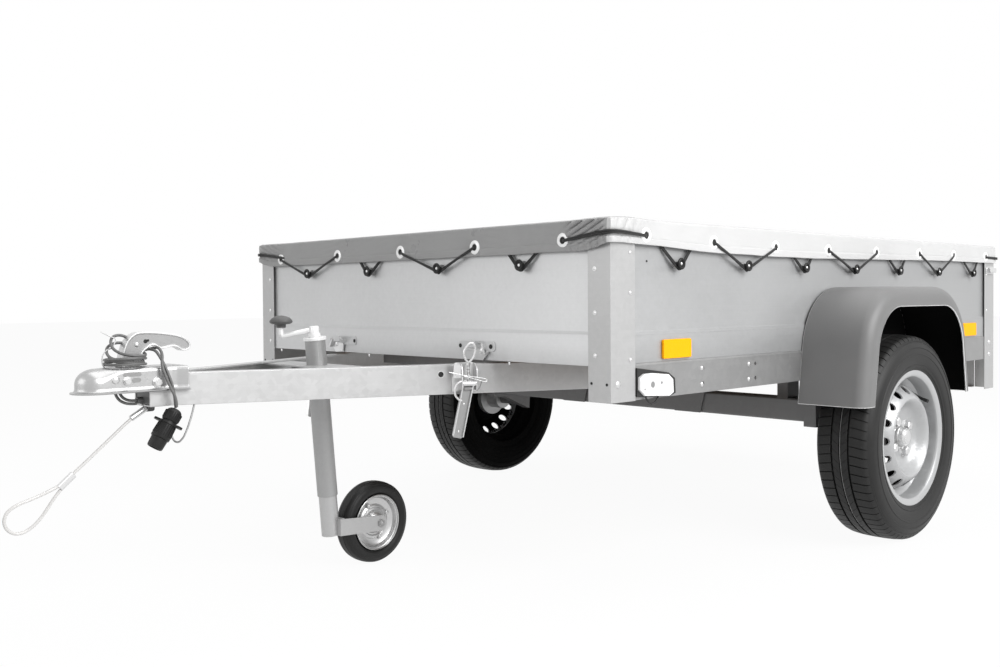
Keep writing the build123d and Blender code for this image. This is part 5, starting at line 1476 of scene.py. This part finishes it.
# latches between the drawbar and the bed, in a frame on the leg: (along it, out of it, up) from
# the middle of its web, in millimetres
latchLook = {
    "place": (293.06, -62.65, 467.0),
    "base": ((-26, -28), (-26, 30), (-18, 38), (24, 38), (31, 30), (31, -28)),
    "flange": ((-28, 5), (-26, 30), (-23, 38), (-20, 39), (-8, 31), (-6, 26), (-6, 3)),
    "leftEar": ((0, -25), (0, 33), (10, 36), (20, 31), (24, 22), (24, -25)),
    "rightEar": ((0, -25), (0, 37), (10, 37), (24, 27), (27, 20), (24, -25)),
    "lever": {"top": (8.5, -9.0), "foot": (-18.0, -132.5), "half": 13.0, "corner": 4.0},
    "ring": ((8, 38), (1, 48), (-2, 59), (1, 70), (7, 78), (14, 83), (21, 82), (25, 74), (25, 63), (21, 52),
             (14, 43), (8, 38)),
    "loop": ((-5, -3), (-14, -6), (-21, -13), (-24, -24), (-22, -36), (-14, -45), (-8, -48)),
    "clip": ((-41, 19), (-20, 14), (2, 9), (26, 5), (42, 2), (49, 0), (50, -4), (44, -5), (28, -1), (8, 5),
             (-6, 9)),
    "strap": ((27, -26), (33, -20), (37, -11), (39, -2)),
    "webHole": (-51, 12),
    # outline, from, to, whether it stands across the leg
    "plates": (("base", 0.0, 3.0, False), ("flange", 17.0, 19.5, False), ("leftEar", -8.0, -5.5, True),
               ("rightEar", 26.0, 28.5, True)),
    "leverWeb": (13.0, 15.5),
    "leverEdges": (15.0, 22.0),
    "edgeWidth": 2.6,
    "leverRivets": (0.38, 0.88),
    # bars across: start and end along the leg, height, radius in metres
    "pivot": (-5.0, 26.0, -9.0, 0.0068),
    "stop": (-2.0, 21.0, -21.0, 0.0040),
    "barOut": 17.5,
    "rod": {"along": 8, "out": 20, "ends": (-6, 39), "threads": (-2, 6, 14, 22, 30), "nut": 32},
    "wires": (("ring", 20.0, 0.0027), ("loop", 19.0, 0.0026), ("clip", 30.0, 0.0012),
              ("strap", 24.0, 0.0013)),
}


def onLeg(side, along, out, up):
    lean = math.radians(24.0)
    x, y, z = latchLook["place"]
    x += along * math.sin(lean) + out * math.cos(lean)
    y += along * math.cos(lean) - out * math.sin(lean)
    return Vector((side * x / 1000, back(y / 1000), (z + up) / 1000))


# a slab on the leg: its corners are (along, up), or (out, up) when it stands across the leg
def addSlab(bm, side, corners, low, high, across=False):
    rings = []
    for level in (low, high):
        rings.append([bm.verts.new(onLeg(side, level, a, up) if across else onLeg(side, a, level, up))
                      for a, up in corners])
    joinRings(bm, *rings)


def leverOutline(top, foot, half, corner):
    down = (foot - top).normalized()
    aside = Vector((down.y, -down.x))
    points = [top - aside * half, foot - aside * half - down * corner, foot - aside * (half - corner),
              foot + aside * (half - corner), foot + aside * half - down * corner, top + aside * half]
    return points, down, aside


def makeLatches(look):
    zinc, web, fine, dark, holes = (bmesh.new() for _ in range(5))
    lever, rod = look["lever"], look["rod"]
    top, foot = Vector(lever["top"]), Vector(lever["foot"])
    outline, down, aside = leverOutline(top, foot, lever["half"], lever["corner"])
    for side in (1, -1):
        outward = onLeg(side, 0, 1, 0) - onLeg(side, 0, 0, 0)
        for label, low, high, across in look["plates"]:
            addSlab(zinc, side, look[label], low, high, across)
        addSlab(web, side, outline, *look["leverWeb"])
        end = foot - down * lever["corner"]
        for edge in (-1, 1):
            outer, inner = aside * edge * lever["half"], aside * edge * (lever["half"] - look["edgeWidth"])
            addSlab(zinc, side, (top + outer, end + outer, end + inner, top + inner), *look["leverEdges"])
        for share in look["leverRivets"]:
            spot = top.lerp(foot, share)
            addDome(fine, onLeg(side, spot.x, look["leverWeb"][1], spot.y), outward, 0.0030, 0.5)
        for label, target in (("pivot", fine), ("stop", dark)):
            first, last, up, radius = look[label]
            start, finish = onLeg(side, first, look["barOut"], up), onLeg(side, last, look["barOut"], up)
            addDisc(target, start, finish - start, radius, (finish - start).length)
        place = (rod["along"], rod["out"])
        addTube(fine, [onLeg(side, *place, height) for height in rod["ends"]], 0.0032)
        for height in rod["threads"]:
            addDisc(dark, onLeg(side, *place, height), (0, 0, 1), 0.0036, 0.0022)
        addDisc(fine, onLeg(side, *place, rod["nut"]), (0, 0, 1), 0.0056, 0.0060, 6)
        for label, out, radius in look["wires"]:
            path = smoothPath([onLeg(side, along, out, up) for along, up in look[label]], 4)
            addTube(dark if label == "strap" else fine, path, radius)
        along, up = look["webHole"]
        addDisc(fine, onLeg(side, along, 0.0, up), outward, 0.0078, 0.0004, 28)
        # the leg's web hole is a near-black disc, painted shade
        addDisc(holes, onLeg(side, along, 0.2, up), outward, 0.0064, 0.0004, 28)
    frame = finishPiece("latchFrames", zinc, "brightZinc", "drawbar",
                        stands=("drawbar_latches",))
    softenEdges(frame, 0.0007)
    # the levers' webs take the darker zinc, painted shade
    finishPiece("latchLevers", web, "handleSide", "drawbar")
    finishPiece("latchFittings", fine, "boltMetal", "drawbar", smooth=50.0)
    finishPiece("legHoles", holes, "darkHole", "drawbar")
    finishPiece("latchShadows", dark, "slotGrey", "drawbar", smooth=50.0)


makeLatches(latchLook)

# the bed's half of each latch: a bent plate with a bolt, on the front wall
hookLook = {
    "plate": ((262.0, 530.0), (270.0, 541.0), (282.0, 549.0), (300.0, 546.0), (312.0, 524.0), (298.0, 507.0),
              (266.0, 509.0)),
    "fin": ((300.0, 546.0), (303.0, 546.5), (315.0, 524.0), (312.0, 521.0)),
    "bolt": (293.0, 529.6, 7.0),
}
bm = bmesh.new()
for side in (1, -1):
    for outline, low, high in ((hookLook["plate"], -0.0020, 0.0025), (hookLook["fin"], -0.0020, 0.0120)):
        rings = [[bm.verts.new(onWall("front", side * x / 1000, out, z / 1000)) for x, z in outline]
                 for out in (low, high)]
        joinRings(bm, *rings)
    x, z, radius = hookLook["bolt"]
    addDome(bm, onWall("front", side * x / 1000, 0.0025, z / 1000), (0, -1, 0), radius / 1000, 0.5)
hookBrackets = finishPiece("hookBrackets", bm, "boltMetal", "bed")
softenEdges(hookBrackets, 0.0006)

# crank of the jockey wheel: hub, falling arm and neck in zinc, with a black knob; profiles are
# (along, radius) in millimetres
crankLook = {
    "foot": (0.0, -0.87571, 0.56298),
    "up": (0.0, -0.083678, 0.996493),
    "hub": ((0.0, 0.0), (0.0, 13.0), (3.0, 14.0), (9.0, 14.0), (9.6, 11.5), (24.0, 11.5), (26.0, 10.0),
            (26.0, 0.0)),
    "armStart": (0.0, -0.87730, 0.58191),
    "armEnd": (-0.0436, -0.9396, 0.5658),
    "neck": 0.030,
    "stub": ((20.0, 0.0), (20.0, 11.0), (30.0, 11.6), (30.0, 0.0)),
    "collar": ((-2.0, 24.2), (-2.0, 26.6), (4.0, 26.8), (5.4, 25.6), (5.4, 14.5), (2.0, 14.5), (-1.0, 24.2)),
    "knob": ((28.5, 0.0), (28.5, 20.0), (31.0, 25.5), (34.0, 27.0), (37.5, 26.0), (42.5, 21.5), (46.5, 14.0),
             (48.5, 6.0), (49.0, 0.0)),
}


def makeCrank(look):
    zinc = bmesh.new()
    spinProfile(zinc, metres(look["hub"]), standing(look["foot"], look["up"]), steps=28)
    start, end = Vector(look["armStart"]), Vector(look["armEnd"])
    ahead = (end - start).normalized()
    bend = [start, start.lerp(end, 0.5), end - ahead * 0.010, end - ahead * 0.003 + Vector((0, 0, 0.0012)),
            end + Vector((0, 0, 0.006)), end + Vector((0, 0, look["neck"]))]
    addTube(zinc, smoothPath(bend, 5), 0.0056, 14)
    # the crank and its collar are near-white, a painted highlight for shiny zinc
    finishPiece("crankArm", zinc, "eyeletMetal", crankBody,
                smooth=50.0, stands=("jockey_crank",))
    black = bmesh.new()
    for label in ("stub", "knob"):
        spinProfile(black, metres(look[label]), standing(end, (0, 0, 1)), steps=36)
    finishPiece("crankKnob", black, "knobPlastic", crankBody, smooth=50.0)
    collar = bmesh.new()
    base = standing(Vector(look["foot"]) - Vector(look["up"]) * 0.005, look["up"])
    spinProfile(collar, metres(look["collar"]), base, steps=36, closed=True)
    finishPiece("tubeCollar", collar, "eyeletMetal", crankBody)


crankBody = frame["nodes"]["jockey_crank"]["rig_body"]
makeCrank(crankLook)
print("latches and crank made")
# coupler: one shell, columns of points from its foot up to its middle line, in millimetres;
# the middle line is x = 0, places along it are behind the front posts
couplerLook = {
    "ball": -788.0,
    "nose": 38.5,
    "foot": 466.0,
    "top": 516.0,
    "dome": 30.0,  # height of the nose's rounding
    "flange": 9.0,
    "noseSteps": 28,
    "arc": 8,
    # behind the front posts, half width, rounding across and down of the top edge
    "stations": ((-612.0, 52.8, 9.0, 9.0), (-620.0, 49.0, 9.0, 9.0), (-634.0, 42.6, 9.0, 9.0),
                 (-644.0, 39.8, 9.0, 9.0), (-690.0, 39.8, 9.0, 9.0), (-735.0, 39.8, 9.0, 9.0),
                 (-748.0, 39.7, 11.5, 10.5), (-760.0, 39.4, 18.0, 15.0), (-772.0, 39.0, 27.0, 22.0),
                 (-781.0, 38.7, 34.0, 27.0)),
    "lengthSteps": 5,
    "wall": 0.003,
}


# one column of the shell: out from the middle line, up
def couplerColumn(look, half, across, down):
    foot, top = look["foot"], look["top"]
    points = [(half + look["flange"], foot), (half + look["flange"], foot + 3.2), (half + 4.0, foot + 3.8),
              (half + 1.6, foot + 5.2), (half + 0.4, foot + 8.0), (half, foot + 12.0), (half, top - down)]
    for index in range(1, look["arc"] + 1):
        angle = math.pi / 2 * index / look["arc"]
        points.append((half - across + across * math.cos(angle), top - down + down * math.sin(angle)))
    return points + [((half - across) * 0.5, top + 0.1), (0.0, top + 0.1)]


def makeCoupler(look):
    rows = look["stations"]
    columns = []
    for first, second in zip(rows, rows[1:] + ((look["ball"], look["nose"], look["nose"], look["dome"]),)):
        for step in range(look["lengthSteps"]):
            share = step / look["lengthSteps"]
            place, half, across, down = (a + (b - a) * share for a, b in zip(first, second))
            columns.append([(x, place, z) for x, z in couplerColumn(look, half, across, down)])
    mirrored = [[(-x, place, z) for x, place, z in column] for column in reversed(columns)]
    section = couplerColumn(look, look["nose"], look["nose"], look["dome"])
    for index in range(look["noseSteps"] + 1):
        angle = math.pi * index / look["noseSteps"]
        columns.append([(reach * math.cos(angle), look["ball"] - reach * math.sin(angle), z)
                        for reach, z in section])
    columns += mirrored
    bm = bmesh.new()
    grid = [[bm.verts.new(atSide(x / 1000, place, z)) for x, place, z in column]
            for column in columns]
    joinGrid(bm, grid)
    bmesh.ops.remove_doubles(bm, verts=bm.verts, dist=0.00002)
    bmesh.ops.recalc_face_normals(bm, faces=bm.faces)
    piece = finishPiece("couplerBody", bm, "couplerZinc", "drawbar", smooth=40.0,
                        stands=("coupler_body",))
    thicken(piece, "pressedWall", look["wall"], -1.0)


makeCoupler(couplerLook)

# on the coupler's sides: place behind the front posts, height, in millimetres
couplerTrim = {
    "face": 39.8,
    "rivets": ((-762.0, 493.6, 8.0),),
    "bolts": ((-738.5, 490.5, 9.0), (-675.2, 484.2, 10.5)),
    "slots": ((-746.6, -709.0, 506.4, 498.4), (-729.0, -710.0, 495.6, 486.0), (-668.0, -660.0, 480.0, 475.5)),
}


# a flat patch with round ends, its corners given as (along, along, top, bottom)
def addSlot(bm, side, slot, low, high):
    start, end, top, foot = slot
    radius = (top - foot) / 2
    outline = []
    for centre, turn in ((end - radius, -90), (start + radius, 90)):
        for step in range(9):
            angle = math.radians(turn + 180 * step / 8)
            outline.append((centre + radius * math.cos(angle), (top + foot) / 2 + radius * math.sin(angle)))
    addPrism(bm, side, outline, low, high)


bolts, slots = bmesh.new(), bmesh.new()
for side in (1, -1):
    face = couplerTrim["face"] / 1000
    for along, height, radius in couplerTrim["rivets"]:
        addDome(bolts, atSide(side * face, along, height), (side, 0, 0), radius / 1000, 0.45)
    for along, height, radius in couplerTrim["bolts"]:
        addBolt(bolts, atSide(side * face, along, height), (side, 0, 0), radius / 1000)
    for slot in couplerTrim["slots"]:
        # the slots are flat dark grey patches, painted shade
        addSlot(slots, side, slot, face - 0.0004, face + 0.0005)
finishPiece("couplerBolts", bolts, "boltMetal", "drawbar")
finishPiece("couplerSlots", slots, "slotGrey", "drawbar")

# handle: a pressed shape with a raised rim and sunk sides; outline as (behind, height)
handleLook = {
    "half": 0.0136,
    "rim": 0.0032,
    "sunk": 0.0026,
    "outline": ((-740.0, 516.5), (-738.0, 530.0), (-735.0, 545.0), (-729.4, 561.6), (-722.5, 573.2),
                (-712.5, 582.0), (-699.2, 586.9), (-670.6, 586.6), (-641.5, 583.7), (-619.4, 579.6),
                (-602.5, 574.0), (-591.3, 565.4), (-587.6, 556.4), (-590.4, 548.9), (-598.0, 544.9),
                (-606.7, 546.2), (-615.3, 551.4), (-625.0, 554.6), (-636.4, 553.2), (-649.3, 550.8),
                (-657.0, 552.4), (-664.5, 557.2), (-672.8, 558.9), (-681.9, 554.0), (-692.2, 545.4),
                (-697.0, 532.2), (-700.0, 516.5)),
    "rivet": (-705.0, 561.4),
    "hole": (-686.5, 567.6),
}


def makeHandle(look):
    points = [atSide(0.0, y, z) for y, z in look["outline"]]
    path = [points[0]] + smoothPath(points[1:-1], 3) + [points[-1]]
    bm = bmesh.new()
    verts = [bm.verts.new(point + Vector((look["half"], 0, 0))) for point in path]
    first = bm.faces.new(verts)
    result = bmesh.ops.extrude_face_region(bm, geom=[first])
    moved = [item for item in result["geom"] if isinstance(item, bmesh.types.BMVert)]
    bmesh.ops.translate(bm, verts=moved, vec=(-2 * look["half"], 0, 0))
    bmesh.ops.recalc_face_normals(bm, faces=bm.faces)
    bm.faces.ensure_lookup_table()
    sides = [face for face in bm.faces if len(face.verts) > 8]
    for face in sides:
        bmesh.ops.inset_region(bm, faces=[face], thickness=look["rim"], depth=0.0)
        bmesh.ops.inset_region(bm, faces=[face], thickness=0.0012, depth=-look["sunk"])
        # the sunk sides take the darker zinc, painted shade
        face.material_index = 1
    piece = finishPiece("couplerHandle", bm, ["brightZinc", "handleSide"], "drawbar",
                        smooth=38.0, stands=("coupler_handle",))
    softenEdges(piece, 0.0016, segments=3, angle=50.0)
    bm = bmesh.new()
    holes = bmesh.new()
    for side in (1, -1):
        face = side * (look["half"] - look["sunk"])
        y, z = look["rivet"]
        addDome(bm, atSide(face, y, z), (side, 0, 0), 0.0052, 0.5)
        y, z = look["hole"]
        # the handle's holes are near-black discs, painted shade
        addDisc(holes, atSide(face, y, z), (side, 0, 0), 0.0042, 0.0005)
        addDisc(holes, atSide(face, y + 5.5, z + 1.6), (side, 0, 0), 0.0026, 0.0005)
    finishPiece("handleRivets", bm, "boltMetal", "drawbar")
    finishPiece("handleHoles", holes, "darkHole", "drawbar")


makeHandle(handleLook)

# plug of the lead, turned round its own axis: (down from its top, radius) in millimetres
plugLook = {
    "top": (0.0575, back(-0.6455), 0.4245),
    "down": (0.0, -math.sin(math.radians(33.0)), -math.cos(math.radians(33.0))),
    "cap": ((-3.0, 0.0), (-3.0, 7.0), (-1.5, 11.0), (1.6, 14.4), (5.3, 16.4), (9.5, 17.2), (22.3, 17.4),
            (24.4, 16.6), (25.4, 14.5), (25.4, 0.0)),
    "body": ((24.4, 0.0), (24.4, 15.0), (27.0, 15.4), (28.1, 18.6), (29.7, 19.3), (32.2, 19.3), (33.3, 18.0),
             (35.0, 18.2), (61.5, 20.0), (64.1, 19.4), (64.9, 17.4), (82.7, 16.6), (85.6, 15.6),
             (86.5, 13.6), (85.2, 12.4), (74.2, 12.2), (74.2, 0.0)),
    "ribs": 22,
    "lugs": (27.5, 32.0, 32.0, 8.0),  # start, end, reach and half width
}


def makePlug(look):
    place = standing(look["top"], look["down"])
    bm = bmesh.new()
    for label in ("cap", "body"):
        profile = metres(look[label])
        spinProfile(bm, profile, place, steps=44)
    for index in range(look["ribs"]):
        angle = math.tau * index / look["ribs"]
        spot = place @ around(0.0172, angle, 0.0055)
        addDisc(bm, spot, look["down"], 0.0011, 0.0155, 6)
        spot = place @ around(0.0183, angle, 0.0335)
        tip = place @ around(0.0196, angle, 0.0570)
        addDisc(bm, spot, tip - spot, 0.0010, (tip - spot).length, 6)
    start, end, reach, half = (value / 1000 for value in look["lugs"])
    for turn in (-0.75, -0.75 + math.pi):
        outline = []
        for step in range(13):
            angle = math.radians(-90 + 180 * step / 12)
            outline.append((reach - half + half * math.cos(angle), half * math.sin(angle)))
        outline = [(0.010, -half)] + outline + [(0.010, half)]
        turned = place @ Matrix.Rotation(turn, 4, "Z")
        joinRings(bm, *[[bm.verts.new(turned @ Vector((a, b, level))) for a, b in outline]
                        for level in (start, end)])
    bmesh.ops.recalc_face_normals(bm, faces=bm.faces)
    return finishPiece("leadPlug", bm, "blackPlastic", "drawbar", smooth=35.0,
                       stands=("plug",))


leadPlug = makePlug(plugLook)

# the tie round the coil and its free end
tieLook = {
    "radius": 0.0013,
    "ring": ((0.0, -766.0, 514.0), (0.0, -772.5, 524.0), (0.0, -772.0, 540.0), (0.0, -763.0, 552.0),
             (0.0, -752.0, 556.0), (0.0, -747.0, 566.0), (-2.0, -744.0, 574.0), (-3.0, -756.0, 580.0),
             (-4.0, -772.8, 589.0)),
}
bm = bmesh.new()
route = [atSide(x / 1000, y, z) for x, y, z in tieLook["ring"]]
addTube(bm, smoothPath(route, 5), tieLook["radius"], 6)
finishPiece("coilTie", bm, "tieNylon", "drawbar", smooth=60.0)
print("drawbar dressed")


# studio: a soft key from the trailer's left and above, weak light from the front, white ground
studioLights = {
    "sideLight": {"place": (4.6, 0.2, 3.2), "aim": (0.3, 0.3, 0.5), "size": (4.0, 3.0), "power": 280.0},
    "frontLight": {"place": (-1.2, -4.6, 1.8), "aim": (0.0, -0.6, 0.5), "size": (3.0, 2.2), "power": 31.0},
    "skyLight": {"place": (0.0, 0.4, 4.2), "aim": (0.0, 0.4, 0.0), "size": (4.0, 5.0), "power": 104.0},
}


def addLight(name, look):
    data = bpy.data.lights.new(name, "AREA")
    data.shape = "RECTANGLE"
    data.size, data.size_y = look["size"]
    data.energy = look["power"]
    light = bpy.data.objects.new(name, data)
    scene.collection.objects.link(light)
    light.matrix_world = standing(look["place"], Vector(look["place"]) - Vector(look["aim"]))


for name, look in studioLights.items():
    addLight(name, look)


# where the view, a shiny surface or clear plastic looks at the background, it is white
def seenDirectly(tree):
    path = addNode(tree, "ShaderNodeLightPath")
    shiny = mathNode(tree, "MAXIMUM", path.outputs["Is Camera Ray"], path.outputs["Is Glossy Ray"])
    return mathNode(tree, "MAXIMUM", shiny, path.outputs["Is Transmission Ray"])


def addWorld(strength):
    world = bpy.data.worlds.new("studioWorld")
    scene.world = world
    world.use_nodes = True
    tree = world.node_tree
    tree.nodes.clear()
    plain = addNode(tree, "ShaderNodeBackground")
    plain.inputs["Strength"].default_value = strength
    plain.inputs["Color"].default_value = (1, 1, 1, 1)
    white = addNode(tree, "ShaderNodeBackground")
    white.inputs["Color"].default_value = (1, 1, 1, 1)
    mix = addNode(tree, "ShaderNodeMixShader")
    link(tree, seenDirectly(tree), mix.inputs["Fac"])
    link(tree, plain.outputs["Background"], mix.inputs[1])
    link(tree, white.outputs["Background"], mix.inputs[2])
    link(tree, mix.outputs["Shader"], addNode(tree, "ShaderNodeOutputWorld").inputs["Surface"])


addWorld(0.36)


# the ground glows white where it is seen, and keeps a part that takes the shadow
def addGround(glow):
    bm = bmesh.new()
    bmesh.ops.create_grid(bm, x_segments=1, y_segments=1, size=30.0)
    mesh = bpy.data.meshes.new("studioGround")
    bm.to_mesh(mesh)
    bm.free()
    ground = bpy.data.objects.new("studioGround", mesh)
    scene.collection.objects.link(ground)
    material = bpy.data.materials.new("groundWhite")
    material.use_nodes = True
    tree = material.node_tree
    tree.nodes.clear()
    matt = addNode(tree, "ShaderNodeBsdfDiffuse")
    matt.inputs["Color"].default_value = (0.85, 0.85, 0.85, 1)
    light = addNode(tree, "ShaderNodeEmission")
    light.inputs["Color"].default_value = (1, 1, 1, 1)
    mix = addNode(tree, "ShaderNodeMixShader")
    link(tree, mathNode(tree, "MULTIPLY", seenDirectly(tree), glow), mix.inputs["Fac"])
    link(tree, matt.outputs["BSDF"], mix.inputs[1])
    link(tree, light.outputs["Emission"], mix.inputs[2])
    link(tree, mix.outputs["Shader"], addNode(tree, "ShaderNodeOutputMaterial").inputs["Surface"])
    mesh.materials.append(material)


addGround(0.95)
scene.view_settings.view_transform = "Standard"
print("studio lit")
